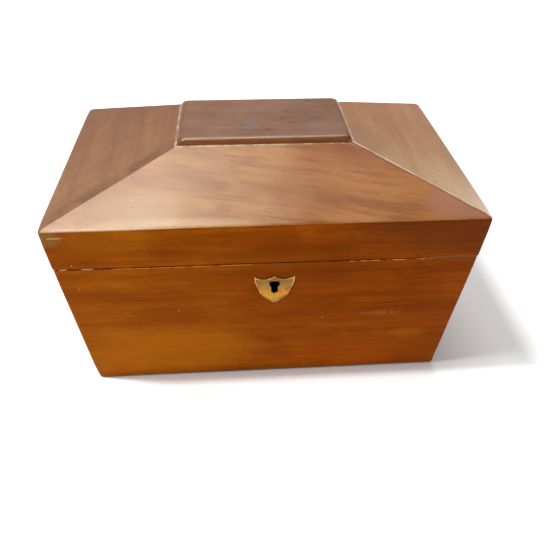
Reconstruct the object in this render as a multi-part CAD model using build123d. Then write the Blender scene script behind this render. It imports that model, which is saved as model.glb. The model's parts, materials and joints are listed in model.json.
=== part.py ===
from build123d import *
import os
from math import atan2, cos, pi, sin, sqrt, tan

# A sarcophagus-shaped tea caddy, in millimetres. The case widens upwards to a rim,
# and the lid slopes in from the rim to a raised tablet. The origin is the centre of
# the base, on the surface the caddy rests on; +X is right, +Y back and +Z up, so
# the front, with its keyhole, faces -Y.

# Outer shape
RIM_W = 300.0
RIM_D = 195.0
RIM_Z = 151.0
CANT_RUN = 12.2  # how far each face leans out between the base and the rim
JOINT_Z = 118.0  # where the box was sawn into case and lid
JOINT_GAP = 0.4
ROOF_Z = 179.0
TABLET_W = 124.0
TABLET_D = 74.0
TABLET_TOP_Z = 183.0
TABLET_LEAN = 1.0
EDGE_R = 2.0

# Walls
VENEER = 1.0
CARCASS = 10.5
LAP = 5.0  # wood left outside the end grain in each rebated corner
BAIZE = 1.0
BASE_T = 7.5
SLOPE_T = 7.0

# Lid fittings
CROWN_HALF_W = 60.0
CROWN_Z = 171.0
LINING_Z = 121.5
LINING_T = 2.5

# Hinges
HINGE_X = 85.0
HINGE_L = 38.0
HINGE_INSET = 3.63  # axis to the outside of the back, at the joint
KNUCKLE_R = 2.3
KNUCKLES = 5
KNUCKLE_GAP = 0.15
SWING_GAP = 0.3
PIN_R = 0.9
RUNNING_FIT = 0.05
LEAF_T = 1.2
LEAF_REACH = 7.3
OPEN_ANGLE = 95.0

# Screws
SCREW_HEAD_R = 1.9
SCREW_R = 0.8
SCREW_L = 8.0
SCREW_POINT = 1.5
SLOT_W = 0.5
SLOT_DEPTH = 0.4

# Lock, measured from its own centre line and the joint
LOCK_X = 3.2
PLATE_W = 57.0
PLATE_H = 33.0
PLATE_T = 1.5
CASE_W = 46.0
CASE_H = 29.0
CASE_T = 7.5
CAP_T = 1.0
SELVEDGE_W = 58.0
SELVEDGE_D = 8.0
LINK_W = 44.0
LINK_INSET = 0.25
LINK_SCREW_INSET = 3.5
STAPLE_X = 12.0
STAPLE_T = 2.0
STAPLE_W = 4.6
STAPLE_Z = 110.0
STAPLE_INSET = 4.15
EYE_W = 2.8
EYE_H = 2.5
STAPLE_CLEAR = 0.6
BOLT_TRAVEL = 5.0
BOLT_T = 2.0
BOLT_W_POS = 3.5
BAR_LEFT = -21.0
BAR_RIGHT = 16.0
BAR_TOP = -9.5
BAR_FOOT = -14.5
TALON = 5.0  # notch that the key's bit works in
ARM_W = 2.4
FINGER_V = -5.8
FINGER_H = 1.6
KEY_V = -18.8
KEYHOLE_R = 3.75
KEYHOLE_DROP = 10.5
KEYHOLE_FOOT_W = 5.0
DRILL_PIN_R = 1.2

# Shield escutcheon
SHIELD_W = 28.8
SHIELD_TOP = -10.8
SHIELD_SCALLOP = -14.0
SHIELD_FOOT = -37.1
SHIELD_T = 1.4
SHIELD_SIDE = ((0.96, 0.2), (0.83, 0.42), (0.53, 0.76))  # shares of its half width and height

# Interior
DIVIDER_X = 50.0
DIVIDER_T = 5.0
DIVIDER_TOP = 106.0
WELL_Z = 96.0
WELL_T = 4.0
BOWL_R = 44.0
BOWL_WALL = 3.0
BOWL_FOOT_R = 21.0
BOWL_FOOT_Z = 34.0
BOWL_TOP_Z = 107.0
CANISTER_GAP = 0.8
CANISTER_T = 4.5
CANISTER_TOP = 99.0
CANISTER_LID_T = 4.5
FOIL_T = 0.4
KNOB_R = 6.0
KNOB_H = 9.5

BASE_HALF_W = RIM_W / 2 - CANT_RUN
BASE_HALF_D = RIM_D / 2 - CANT_RUN
CANT = atan2(CANT_RUN, RIM_Z)
LID_Z = JOINT_Z + JOINT_GAP
CARCASS_Z = BAIZE
FLOOR_Z = BAIZE + BASE_T
SKY_Z = 200.0
OUTSIDE = -20.0  # an inset that reaches past every wall
SIDE_SLOPE = atan2(ROOF_Z - RIM_Z, (RIM_W - TABLET_W) / 2)
FRONT_SLOPE = atan2(ROOF_Z - RIM_Z, (RIM_D - TABLET_D) / 2)


# ---- Blocks that every board is cut from ----

def half_sizes(z, inset=0.0):
    """Half width and half depth of the case at a height, moved in along its faces' normals."""
    lean = CANT_RUN * z / RIM_Z - inset / cos(CANT)
    return BASE_HALF_W + lean, BASE_HALF_D + lean


def roof_half_sizes(z, inset=0.0):
    """Half width and half depth of the sloping lid at a height, moved in the same way."""
    half_w = TABLET_W / 2 + (ROOF_Z - z) / tan(SIDE_SLOPE) - inset / sin(SIDE_SLOPE)
    half_d = TABLET_D / 2 + (ROOF_Z - z) / tan(FRONT_SLOPE) - inset / sin(FRONT_SLOPE)
    return half_w, half_d


def frustum(low, high, z0, z1):
    """Flat-faced block between two centred rectangles, given by their half sizes."""
    shape = Wedge(
        2 * low[0], z1 - z0, 2 * low[1],
        low[0] - high[0], low[1] - high[1], low[0] + high[0], low[1] + high[1],
        rotation=(90, 0, 0), align=(Align.CENTER, Align.MIN, Align.CENTER),
    )
    return Pos(0, 0, z0) * shape


def canted(inset_x, inset_y, z0, z1):
    """Block inside the leaning walls, with its own inset from the ends and from front and back."""
    low = (half_sizes(z0, inset_x)[0], half_sizes(z0, inset_y)[1])
    high = (half_sizes(z1, inset_x)[0], half_sizes(z1, inset_y)[1])
    return frustum(low, high, z0, z1)


def under_roof(inset, z0=110.0):
    """Everything below the lid's slopes, moved in by the inset, up to the roof's flat top."""
    return frustum(roof_half_sizes(z0, inset), roof_half_sizes(ROOF_Z, inset), z0, ROOF_Z)


def box(x0, x1, y0, y1, z0, z1):
    """Box between two corners."""
    return Pos(x0, y0, z0) * Box(x1 - x0, y1 - y0, z1 - z0, align=Align.MIN)


def rounded_uprights(shape, radius):
    """The same shape with its leaning corner edges rounded."""
    corners = shape.edges().filter_by(lambda e: abs(e.start_point().Z - e.end_point().Z) > 1)
    return fillet(corners, radius)


def rounded_lid(shape, radius):
    """The same lid block with its corners, hips and rim rounded."""
    corners = list(shape.edges().filter_by(lambda e: abs(e.start_point().Z - e.end_point().Z) > 1))
    rim = shape.edges().filter_by(lambda e: abs(e.center().Z - RIM_Z) < 0.01)
    return fillet(corners + list(rim), radius)


def sector(side, ridge, run_x, run_y):
    """Tall block on one side of the vertical planes that run out from a ridge to the corners."""
    far_x = ridge + 2 * run_x
    far_y = 2 * run_y
    outlines = {
        "front": [(-ridge, 0), (-far_x, -far_y), (far_x, -far_y), (ridge, 0)],
        "back": [(ridge, 0), (far_x, far_y), (-far_x, far_y), (-ridge, 0)],
        "left": [(-ridge, 0), (-far_x, far_y), (-far_x, -far_y)],
        "right": [(ridge, 0), (far_x, -far_y), (far_x, far_y)],
    }
    return extrude(make_face(Polyline(*outlines[side], close=True)), SKY_Z, dir=(0, 0, 1))


def wall_mitre(side):
    """Sector between the 45 degree mitres of the walls' veneers."""
    return sector(side, BASE_HALF_W - BASE_HALF_D, BASE_HALF_D, BASE_HALF_D)


def hip_mitre(side):
    """Sector between the mitres under the lid's hips."""
    run_x = (RIM_W - TABLET_W) / 2
    run_y = (RIM_D - TABLET_D) / 2
    ridge = RIM_W / 2 - RIM_D / 2 * run_x / run_y
    return sector(side, ridge, run_x, run_y)


SIDES = ("front", "back", "left", "right")


# ---- Shared fixings ----

def screw_hole():
    """What a countersunk screw takes out of the pieces it holds: it points down from the origin."""
    sink = SCREW_HEAD_R - SCREW_R
    profile = Polyline(
        (0, 0), (SCREW_HEAD_R, 0), (SCREW_R, -sink), (SCREW_R, SCREW_POINT - SCREW_L), (0, -SCREW_L),
        close=True,
    )
    return revolve(Plane.XZ * make_face(profile), Axis.Z)


def countersunk_screw():
    """Slotted wood screw that fills its hole, with its flat head at the origin."""
    return screw_hole() - Box(2 * SCREW_HEAD_R, SLOT_W, 2 * SLOT_DEPTH)


# ---- Hinges ----

AXIS_Y = half_sizes(JOINT_Z)[1] - HINGE_INSET
AXIS_Z = JOINT_Z + JOINT_GAP / 2
SCREW_Y = AXIS_Y - 5.0
HINGE_SCREW_XS = (-HINGE_L * 0.36, 0.0, HINGE_L * 0.36)


def rod_x(x0, x1, y, z, radius):
    """Round rod along X."""
    return Pos((x0 + x1) / 2, y, z) * Rot(0, 90, 0) * Cylinder(radius, x1 - x0)


def knuckle_spans(of_lid):
    """Start and end of each of one leaf's knuckles, from the hinge's middle."""
    pitch = HINGE_L / KNUCKLES
    first = 1 if of_lid else 0
    return [(-HINGE_L / 2 + i * pitch, -HINGE_L / 2 + (i + 1) * pitch) for i in range(first, KNUCKLES, 2)]


def hinge_screws(x, of_lid):
    """The three screws of one leaf."""
    way = Rot(180, 0, 0) if of_lid else Rot(0, 0, 0)
    face_z = LID_Z if of_lid else JOINT_Z
    return [Pos(x + dx, SCREW_Y, face_z) * way for dx in HINGE_SCREW_XS]


def hinge_leaf(x, of_lid):
    """Brass leaf let into one side of the joint, with its share of the knuckles."""
    z0 = LID_Z if of_lid else JOINT_Z - LEAF_T
    leaf = box(x - HINGE_L / 2, x + HINGE_L / 2, AXIS_Y - LEAF_REACH, AXIS_Y, z0, z0 + LEAF_T)
    for start, end in knuckle_spans(not of_lid):
        leaf -= rod_x(x + start - KNUCKLE_GAP, x + end + KNUCKLE_GAP, AXIS_Y, AXIS_Z, KNUCKLE_R + SWING_GAP)
    for start, end in knuckle_spans(of_lid):
        leaf += rod_x(x + start, x + end, AXIS_Y, AXIS_Z, KNUCKLE_R)
    bore = PIN_R + (RUNNING_FIT if of_lid else 0.0)
    leaf -= rod_x(x - HINGE_L, x + HINGE_L, AXIS_Y, AXIS_Z, bore)
    for place in hinge_screws(x, of_lid):
        leaf -= place * screw_hole()
    return leaf


def hinge_cuts(of_lid):
    """Everything the hinges take out of the back of the case or of the lid."""
    z0 = LID_Z if of_lid else JOINT_Z - LEAF_T
    reach = HINGE_L / 2 + SWING_GAP
    cuts = [stop_bevel(of_lid)]
    for x in (-HINGE_X, HINGE_X):
        cuts.append(rod_x(x - reach, x + reach, AXIS_Y, AXIS_Z, KNUCKLE_R + SWING_GAP))
        cuts.append(box(x - HINGE_L / 2, x + HINGE_L / 2, AXIS_Y - LEAF_REACH, AXIS_Y, z0, z0 + LEAF_T))
        cuts += [place * screw_hole() for place in hinge_screws(x, of_lid)]
    return cuts


def stop_bevel(of_lid):
    """Wedge off the back edge; the two bevels meet and stop the lid when it is fully open."""
    slope = tan((OPEN_ANGLE / 2 + 0.1) * pi / 180)
    out = 10.0
    z = LID_Z if of_lid else JOINT_Z
    rise = out * slope if of_lid else -out * slope
    over = -1.0 if of_lid else 1.0
    outline = Polyline(
        (AXIS_Y, z), (AXIS_Y + out, z + rise), (AXIS_Y + out, z + over), (AXIS_Y, z + over), close=True
    )
    return Pos(-RIM_W, 0, 0) * extrude(Plane.YZ * make_face(outline), 2 * RIM_W)


# ---- Lock, drawn in the plane of the front board's inner face ----

FRONT_T = VENEER + CARCASS
LOCK_Y = -half_sizes(JOINT_Z, FRONT_T)[1]
LOCK_PLANE = Plane(
    origin=(LOCK_X, LOCK_Y, JOINT_Z), x_dir=(1, 0, 0), z_dir=(0, -cos(CANT), -sin(CANT))
)
STAPLE_Y = LOCK_Y - STAPLE_INSET


def in_lock(x0, x1, v0, v1, w0, w1):
    """Box in the lock's own frame: across, up the face, and out towards the front."""
    return LOCK_PLANE * box(x0, x1, v0, v1, w0, w1)


def keyhole(w0, w1):
    """Round-topped keyhole with a narrower foot, between two depths."""
    foot_v = KEY_V - KEYHOLE_DROP + KEYHOLE_FOOT_W / 2
    throat = box(-KEYHOLE_FOOT_W / 2, KEYHOLE_FOOT_W / 2, foot_v, KEY_V, w0, w1)
    return LOCK_PLANE * (peg(KEY_V, KEYHOLE_R, w0, w1) + peg(foot_v, KEYHOLE_FOOT_W / 2, w0, w1) + throat)


def peg(v, radius, w0, w1):
    """Round peg on the lock's centre line, square to the front, between two depths."""
    return Pos(0, v, w0) * Cylinder(radius, w1 - w0, align=(Align.CENTER, Align.CENTER, Align.MIN))


def selvedge_block():
    """The lock's top plate, flush with the sawn edge of the front board."""
    half = SELVEDGE_W / 2
    return box(LOCK_X - half, LOCK_X + half, LOCK_Y - SELVEDGE_D, LOCK_Y, JOINT_Z - PLATE_T, JOINT_Z)


def staple_slots():
    """Slots in the top plate that let the lid's staples in."""
    half_x = STAPLE_T / 2 + STAPLE_CLEAR
    half_y = STAPLE_W / 2 + STAPLE_CLEAR + 0.2
    slots = [
        box(x - half_x, x + half_x, STAPLE_Y - half_y, STAPLE_Y + half_y, 112.0, LID_Z)
        for x in staple_spots()
    ]
    return slots[0] + slots[1]


def lock_screw_places():
    """Screws in the back plate's corners, driven from inside the caddy."""
    across = (PLATE_W + CASE_W) / 4
    places = []
    for x in (-across, across):
        for v in (-5.5, -PLATE_H + 4.0):
            places.append(LOCK_PLANE * Pos(x, v, 0) * Rot(180, 0, 0))
    return places


def lock_case():
    """Back plate, box walls and top plate of the lock."""
    half = CASE_W / 2
    plate = in_lock(-PLATE_W / 2, PLATE_W / 2, -PLATE_H, 0, 0, PLATE_T)
    walls = in_lock(-half, half, -CASE_H, 1, PLATE_T, CASE_T)
    hollow = in_lock(-half + 1, half - 1, -CASE_H + 1, 1, PLATE_T, CASE_T)
    case = plate + (walls - hollow)
    case = case - box(-RIM_W, RIM_W, -RIM_D, 0, JOINT_Z - PLATE_T, SKY_Z)
    case = case + selvedge_block() - staple_slots()
    for place in lock_screw_places():
        case -= place * screw_hole()
    return case


def lock_cap():
    """Plate that closes the lock's box on the keyhole side."""
    half = CASE_W / 2
    cap = in_lock(-half, half, -CASE_H, -2.2, CASE_T, CASE_T + CAP_T)
    return cap - keyhole(CASE_T - 1, CASE_T + 2)


def lock_drill_pin():
    """Pin that the hollow key turns on."""
    return LOCK_PLANE * peg(KEY_V, DRILL_PIN_R, PLATE_T, CASE_T + CAP_T)


def lock_bolt():
    """Sliding bar with two hooked arms that pass through the staples."""
    w0, w1 = BOLT_W_POS, BOLT_W_POS + BOLT_T
    bar = in_lock(BAR_LEFT, BAR_RIGHT, BAR_FOOT, BAR_TOP, w0, w1)
    bar -= in_lock(-TALON / 2, TALON / 2, BAR_FOOT - 1, BAR_FOOT + TALON / 2, w0, w1)
    for x in (-STAPLE_X, STAPLE_X):
        tip = x - STAPLE_T / 2 - STAPLE_CLEAR
        root = tip - BOLT_TRAVEL
        bar += in_lock(root - ARM_W, root, BAR_TOP, FINGER_V + FINGER_H, w0, w1)
        bar += in_lock(root, tip, FINGER_V, FINGER_V + FINGER_H, w0, w1)
    return bar


def lock_bolt_spring():
    """Bowed leaf spring on the bolt's back."""
    w0, w1 = BOLT_W_POS + 0.2, BOLT_W_POS + BOLT_T - 0.2
    ends = (-11.5, 0.5)
    middle = sum(ends) / 2
    bow = ThreePointArc((ends[0], BAR_TOP), (middle, BAR_TOP + 1.9), (ends[1], BAR_TOP))
    under = ThreePointArc((ends[1], BAR_TOP), (middle, BAR_TOP + 1.4), (ends[0], BAR_TOP))
    leaf = extrude(make_face([bow, under]), w1 - w0, dir=(0, 0, 1))
    return LOCK_PLANE * Pos(0, 0, w0) * leaf


def lock_mortise():
    """Everything the lock takes out of the front board."""
    half = CASE_W / 2
    cuts = [
        in_lock(-PLATE_W / 2, PLATE_W / 2, -PLATE_H, 2, -1, PLATE_T),
        in_lock(-half, half, -CASE_H, -1, 0, CASE_T + CAP_T),
        in_lock(-half, half, -3, 2, 0, CASE_T),
        selvedge_block(),
        keyhole(0, FRONT_T + 2),
    ]
    return cuts + [place * screw_hole() for place in lock_screw_places()]


def shield_outline():
    """Shield with two scallops and a centre peak on top and bulging sides to a foot point."""
    half = SHIELD_W / 2
    drop = SHIELD_TOP - SHIELD_FOOT
    horn = (half, SHIELD_TOP)
    side = [(half * across, SHIELD_TOP - drop * down) for across, down in SHIELD_SIDE]
    right = [
        ThreePointArc((0, SHIELD_TOP), (half * 0.5, SHIELD_SCALLOP), horn),
        Spline(horn, *side, (0, SHIELD_FOOT)),
    ]
    left = [mirror(piece, Plane.YZ) for piece in right]
    return make_face(right + left)


def escutcheon():
    """Brass shield let into the veneer round the keyhole."""
    plate = Pos(0, 0, FRONT_T - VENEER) * extrude(shield_outline(), SHIELD_T, dir=(0, 0, 1))
    return LOCK_PLANE * plate - keyhole(CASE_T, FRONT_T + 2)


def escutcheon_recess():
    """The shield's seat in the veneer."""
    seat = Pos(0, 0, FRONT_T - VENEER) * extrude(shield_outline(), 2 * SHIELD_T, dir=(0, 0, 1))
    return LOCK_PLANE * seat


def staple_spots():
    """Places across the caddy of the two staples that the bolt catches."""
    return (LOCK_X - STAPLE_X, LOCK_X + STAPLE_X)


def staple_shank(x, z0, z1):
    """Straight length of one staple between two heights."""
    return box(x - STAPLE_T / 2, x + STAPLE_T / 2, STAPLE_Y - STAPLE_W / 2, STAPLE_Y + STAPLE_W / 2, z0, z1)


def link_plate():
    """Plate under the front of the lid that holds the staples."""
    half = LINK_W / 2
    inner = LOCK_Y - LINK_INSET
    plate = box(LOCK_X - half, LOCK_X + half, inner - SELVEDGE_D, inner, LID_Z, LID_Z + PLATE_T)
    for x in staple_spots():
        plate -= staple_shank(x, LID_Z, LID_Z + PLATE_T)
    for place in link_screw_places():
        plate -= place * screw_hole()
    return plate


def link_staples():
    """Two eyed staples riveted through the link plate, which the bolt's hooks enter."""
    eye_centre = LOCK_PLANE.from_local_coords(
        Vector(0, FINGER_V + FINGER_H / 2, BOLT_W_POS + BOLT_T / 2)
    )
    staples = []
    for x in staple_spots():
        eye = Pos(x, eye_centre.Y, eye_centre.Z) * Box(3 * STAPLE_T, EYE_W, EYE_H)
        staples.append(staple_shank(x, STAPLE_Z, LID_Z + PLATE_T) - eye)
    return staples


def link_screw_places():
    """The link plate's two screws, driven up into the lid."""
    y = LOCK_Y - SELVEDGE_D / 2 - LINK_INSET
    reach = LINK_W / 2 - LINK_SCREW_INSET
    return [Pos(LOCK_X + x, y, LID_Z) * Rot(180, 0, 0) for x in (-reach, reach)]


def link_cuts():
    """What the link plate takes out of the lid's front rail."""
    half = LINK_W / 2
    inner = LOCK_Y + 1.0
    outer = LOCK_Y - LINK_INSET - SELVEDGE_D
    seat = box(LOCK_X - half, LOCK_X + half, outer, inner, LID_Z, LID_Z + PLATE_T)
    return [seat] + [place * screw_hole() for place in link_screw_places()]


# ---- Walls of the case and rails of the lid: one sawn box ----

def wall_boards(z0, z1):
    """Four carcass boards; the front and back boards lap over the ends' edges."""
    ends = canted(VENEER, VENEER + LAP, z0, z1) - canted(FRONT_T, OUTSIDE, z0, z1)
    longs = canted(VENEER, VENEER, z0, z1) - canted(OUTSIDE, FRONT_T, z0, z1) - ends
    return {
        "front": half_of(longs, 0, -1),
        "back": half_of(longs, 0, 1),
        "left": half_of(ends, -1, 0),
        "right": half_of(ends, 1, 0),
    }


def half_of(shape, way_x, way_y):
    """The part of a shape on one side of the caddy's middle."""
    block = Pos(way_x * RIM_W, way_y * RIM_W, 0) * Box(
        2 * RIM_W, 2 * RIM_W, 2 * SKY_Z, align=(Align.CENTER, Align.CENTER, Align.CENTER)
    )
    return shape & block


def wall_cuts(side, of_lid):
    """What the lock and the hinges take out of one wall."""
    if side == "back":
        return hinge_cuts(of_lid)
    if side == "front":
        return link_cuts() if of_lid else lock_mortise()
    return []


def case_walls():
    """Boards and veneers of the case."""
    nodes = {}
    boards = wall_boards(CARCASS_Z + BASE_T, JOINT_Z)
    outside = rounded_uprights(canted(0, 0, BAIZE, JOINT_Z), EDGE_R)
    inside = rounded_uprights(canted(VENEER, VENEER, BAIZE, JOINT_Z), EDGE_R - VENEER)
    skin = outside - inside
    for side in SIDES:
        board = (boards[side] & inside) - stop_bevel(False)
        veneer = (skin & wall_mitre(side)) - stop_bevel(False)
        for cut in wall_cuts(side, False):
            board -= cut
        if side == "front":
            veneer = veneer - keyhole(0, FRONT_T + 2) - escutcheon_recess()
        nodes[f"body_{side}_board"] = board
        nodes[f"body_{side}_veneer"] = veneer
    return nodes


def lid_shell():
    """Rails, slopes, crown and veneers of the lid."""
    nodes = {}
    high = half_sizes(RIM_Z)
    outside = canted(0, 0, LID_Z, RIM_Z) + frustum(high, roof_half_sizes(ROOF_Z), RIM_Z, ROOF_Z)
    outside = rounded_lid(outside, EDGE_R)
    band = rounded_uprights(canted(VENEER, VENEER, LID_Z, ROOF_Z), EDGE_R - VENEER)
    under_veneer = under_roof(VENEER)
    under_slopes = under_roof(VENEER + SLOPE_T)
    crown = crown_block()
    boards = wall_boards(LID_Z, ROOF_Z)
    rail_skin = (outside & under_veneer) - band
    roof_skin = outside - under_veneer - crown
    slopes = (band & outside & under_veneer) - under_slopes - crown
    for side in SIDES:
        rail = (boards[side] & band & under_slopes) - stop_bevel(True)
        for cut in wall_cuts(side, True):
            rail -= cut
        nodes[f"lid_{side}_rail"] = rail
        nodes[f"lid_{side}_rail_veneer"] = (rail_skin & wall_mitre(side)) - stop_bevel(True)
        nodes[f"lid_{side}_slope"] = slopes & hip_mitre(side)
        nodes[f"lid_{side}_slope_veneer"] = roof_skin & hip_mitre(side)
    nodes["crown_board"] = crown
    return nodes


def crown_block():
    """Flat board that closes the roof under the tablet; its corners lie on the hips."""
    run_x = (RIM_W - TABLET_W) / 2
    run_y = (RIM_D - TABLET_D) / 2
    half_d = RIM_D / 2 - (RIM_W / 2 - CROWN_HALF_W) * run_y / run_x
    return box(-CROWN_HALF_W, CROWN_HALF_W, -half_d, half_d, CROWN_Z, ROOF_Z)


def tablet():
    """Raised slab on top of the lid, with eased upper edges."""
    low = (TABLET_W / 2, TABLET_D / 2)
    high = (low[0] - TABLET_LEAN, low[1] - TABLET_LEAN)
    slab = rounded_uprights(frustum(low, high, ROOF_Z, TABLET_TOP_Z), EDGE_R - VENEER / 2)
    return fillet(slab.faces().sort_by(Axis.Z)[-1].edges(), EDGE_R - VENEER / 2)


def lid_lining_panel():
    """Lined panel inside the lid, fitted between the rails."""
    return canted(FRONT_T, FRONT_T, LINING_Z, LINING_Z + LINING_T)


def base_board():
    """Bottom board, the full size of the carcass, under the walls."""
    return rounded_uprights(canted(VENEER, VENEER, BAIZE, FLOOR_Z), EDGE_R - VENEER)


def baize_base():
    """Cloth glued under the base board, short of its edges."""
    return canted(2.0, 2.0, 0, BAIZE)


# ---- Interior ----

def divider(side):
    """Partition between a canister's compartment and the middle one."""
    x0 = DIVIDER_X if side == "right" else -DIVIDER_X - DIVIDER_T
    return canted(FRONT_T, FRONT_T, FLOOR_Z, DIVIDER_TOP) & box(
        x0, x0 + DIVIDER_T, -RIM_D, RIM_D, 0, SKY_Z
    )


def bowl_well_board():
    """Board across the middle compartment with the round seat for the bowl."""
    board = canted(FRONT_T, FRONT_T, WELL_Z, WELL_Z + WELL_T)
    board = board & box(-DIVIDER_X, DIVIDER_X, -RIM_D, RIM_D, 0, SKY_Z)
    return board - Pos(0, 0, WELL_Z) * Cylinder(BOWL_R - 2.0, 4 * WELL_T)


def bowl_radius(z):
    """Outside radius of the bowl's wall: it swells fast above the foot, then rises steeply."""
    share = (z - BOWL_FOOT_Z) / (WELL_Z + WELL_T - BOWL_FOOT_Z)
    full = BOWL_R - 2.6
    return BOWL_FOOT_R + (full - BOWL_FOOT_R) * sqrt(1 - (1 - share) ** 2)


def mixing_bowl():
    """Glass bowl with a turned-over rim that hangs in the well board."""
    seat_z = WELL_Z + WELL_T
    zs = [BOWL_FOOT_Z + (seat_z - BOWL_FOOT_Z) * share for share in (0.0, 0.06, 0.18, 0.36, 0.6, 0.8, 1.0)]
    outside = [(bowl_radius(z), z) for z in zs]
    inside = [(bowl_radius(z) - BOWL_WALL, z + BOWL_WALL * (seat_z - z) / (seat_z - BOWL_FOOT_Z)) for z in zs]
    outer = Spline(*outside)
    inner = Spline(*reversed(inside))
    rim_inner = inside[-1][0]
    lip = Polyline(
        outside[-1], (BOWL_R, seat_z), (BOWL_R, BOWL_TOP_Z - 2.0), (BOWL_R - 1.2, BOWL_TOP_Z),
        (rim_inner + 1.0, BOWL_TOP_Z), (rim_inner, BOWL_TOP_Z - 1.0), inside[-1],
    )
    foot = Polyline(inside[0], (0, inside[0][1]), (0, BOWL_FOOT_Z), outside[0])
    profile = make_face([outer, lip, inner, foot])
    return revolve(Plane.XZ * profile, Axis.Z)


def canister_block(side, inset, z0, z1):
    """Block that fills one end compartment, moved in from its walls and divider."""
    whole = canted(FRONT_T + inset, FRONT_T + inset, z0, z1)
    near = DIVIDER_X + DIVIDER_T + inset
    x0, x1 = (near, RIM_W) if side == "right" else (-RIM_W, -near)
    return whole & box(x0, x1, -RIM_D, RIM_D, 0, SKY_Z)


def canister(side):
    """One tea canister: four walls, bottom, metal lining, lid and knob."""
    bottom_z = FLOOR_Z + 0.5
    inner_z = bottom_z + CANISTER_T
    gap = CANISTER_GAP
    inner = gap + CANISTER_T
    outer_block = canister_block(side, gap, inner_z, CANISTER_TOP)
    ring = outer_block - canister_block(side, inner, inner_z, CANISTER_TOP)
    foil = canister_block(side, inner, inner_z, CANISTER_TOP - 2.0) - canister_block(
        side, inner + FOIL_T, inner_z + FOIL_T, CANISTER_TOP
    )
    lid_top = CANISTER_TOP + CANISTER_LID_T
    lid = canister_block(side, gap, CANISTER_TOP, lid_top)
    lid += canister_block(side, inner + 0.4 + FOIL_T, CANISTER_TOP - 1.6, CANISTER_TOP)
    middle = lid.bounding_box().center()
    return {
        f"canister_{side}_walls": ring_boards(ring, side),
        f"canister_{side}_bottom": canister_block(side, gap, bottom_z, inner_z),
        f"canister_{side}_foil": foil,
        f"canister_{side}_lid": lid,
        f"canister_{side}_knob": Pos(middle.X, 0, lid_top) * knob(),
    }


def ring_boards(ring, side):
    """A canister's wall ring parted at its inner and outer end boards."""
    way = 1 if side == "right" else -1
    near = DIVIDER_X + DIVIDER_T + CANISTER_GAP + CANISTER_T
    inner_end = ring & box(min(0, way * near), max(0, way * near), -RIM_D, RIM_D, 0, SKY_Z)
    rest = ring - inner_end
    outer = canted(FRONT_T + CANISTER_GAP + CANISTER_T, OUTSIDE, 0, SKY_Z)
    outer_end = rest - outer
    longs = rest - outer_end
    return [inner_end, outer_end, half_of(longs, 0, -1), half_of(longs, 0, 1)]


def knob():
    """Small turned knob with a waist."""
    foot = (KNOB_R * 0.7, KNOB_H * 0.1)
    shoulder = (KNOB_R * 0.6, KNOB_H * 0.45)
    top_edge = (KNOB_R * 0.5, KNOB_H * 0.95)
    profile = make_face([
        Polyline((0, KNOB_H), (0, 0), (foot[0], 0), foot),
        ThreePointArc(foot, (KNOB_R * 0.45, KNOB_H * 0.27), shoulder),
        ThreePointArc(shoulder, (KNOB_R, KNOB_H * 0.72), top_edge),
        Line(top_edge, (0, KNOB_H)),
    ])
    return revolve(Plane.XZ * profile, Axis.Z)


# ---- Assembly ----

def fixings():
    """Screws and pins, each kind in one node."""
    hinge_xs = (-HINGE_X, HINGE_X)
    pin_reach = HINGE_L / 2
    return {
        "hinge_pins": [rod_x(x - pin_reach, x + pin_reach, AXIS_Y, AXIS_Z, PIN_R) for x in hinge_xs],
        "hinge_body_screws": [p * countersunk_screw() for x in hinge_xs for p in hinge_screws(x, False)],
        "hinge_lid_screws": [p * countersunk_screw() for x in hinge_xs for p in hinge_screws(x, True)],
        "lock_screws": [p * countersunk_screw() for p in lock_screw_places()],
        "link_plate_screws": [p * countersunk_screw() for p in link_screw_places()],
    }


def all_nodes():
    """Every piece of the caddy by name; a list is a group of separate solids."""
    nodes = {
        "baize_base": baize_base(),
        "base_board": base_board(),
        "bowl_well_board": bowl_well_board(),
        "mixing_bowl": mixing_bowl(),
        "lid_lining_panel": lid_lining_panel(),
        "tablet": tablet(),
        "escutcheon": escutcheon(),
        "lock_case": lock_case(),
        "lock_cap": lock_cap(),
        "lock_drill_pin": lock_drill_pin(),
        "lock_bolt": lock_bolt(),
        "lock_bolt_spring": lock_bolt_spring(),
        "link_plate": link_plate(),
        "link_staples": link_staples(),
    }
    nodes.update(case_walls())
    nodes.update(lid_shell())
    nodes.update(fixings())
    for side in ("left", "right"):
        nodes[f"divider_{side}"] = divider(side)
        nodes.update(canister(side))
    for side, x in (("left", -HINGE_X), ("right", HINGE_X)):
        nodes[f"hinge_{side}_body_leaf"] = hinge_leaf(x, False)
        nodes[f"hinge_{side}_lid_leaf"] = hinge_leaf(x, True)
    return nodes


os.makedirs("parts", exist_ok=True)
for name, shape in all_nodes().items():
    if isinstance(shape, list):
        shape = Compound(children=[solid for piece in shape for solid in piece.solids()])
    export_step(shape, f"parts/{name}.step")
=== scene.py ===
import json
import math

import bmesh
import bpy
import numpy as np
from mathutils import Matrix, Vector, noise


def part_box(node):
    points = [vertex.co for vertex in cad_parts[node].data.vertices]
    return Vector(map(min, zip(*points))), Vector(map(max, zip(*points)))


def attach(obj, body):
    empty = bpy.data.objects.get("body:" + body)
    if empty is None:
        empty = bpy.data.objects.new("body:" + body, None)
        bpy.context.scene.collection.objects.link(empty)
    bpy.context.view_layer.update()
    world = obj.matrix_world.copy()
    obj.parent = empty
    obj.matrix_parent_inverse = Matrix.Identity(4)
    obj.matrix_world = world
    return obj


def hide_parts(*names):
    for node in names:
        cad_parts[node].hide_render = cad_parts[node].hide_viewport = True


# A sarcophagus-shaped tea caddy in worn, waxed wood. The CAD holds every piece. This file
# rebuilds the veneers, the tablet, the shield, the bowl and the baize as worn meshes of the
# same sizes, cuts back the boards under worn corners, and gives every piece its material.
# Everything is in metres, in the CAD's frame, unless a comment says millimetres.

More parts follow.
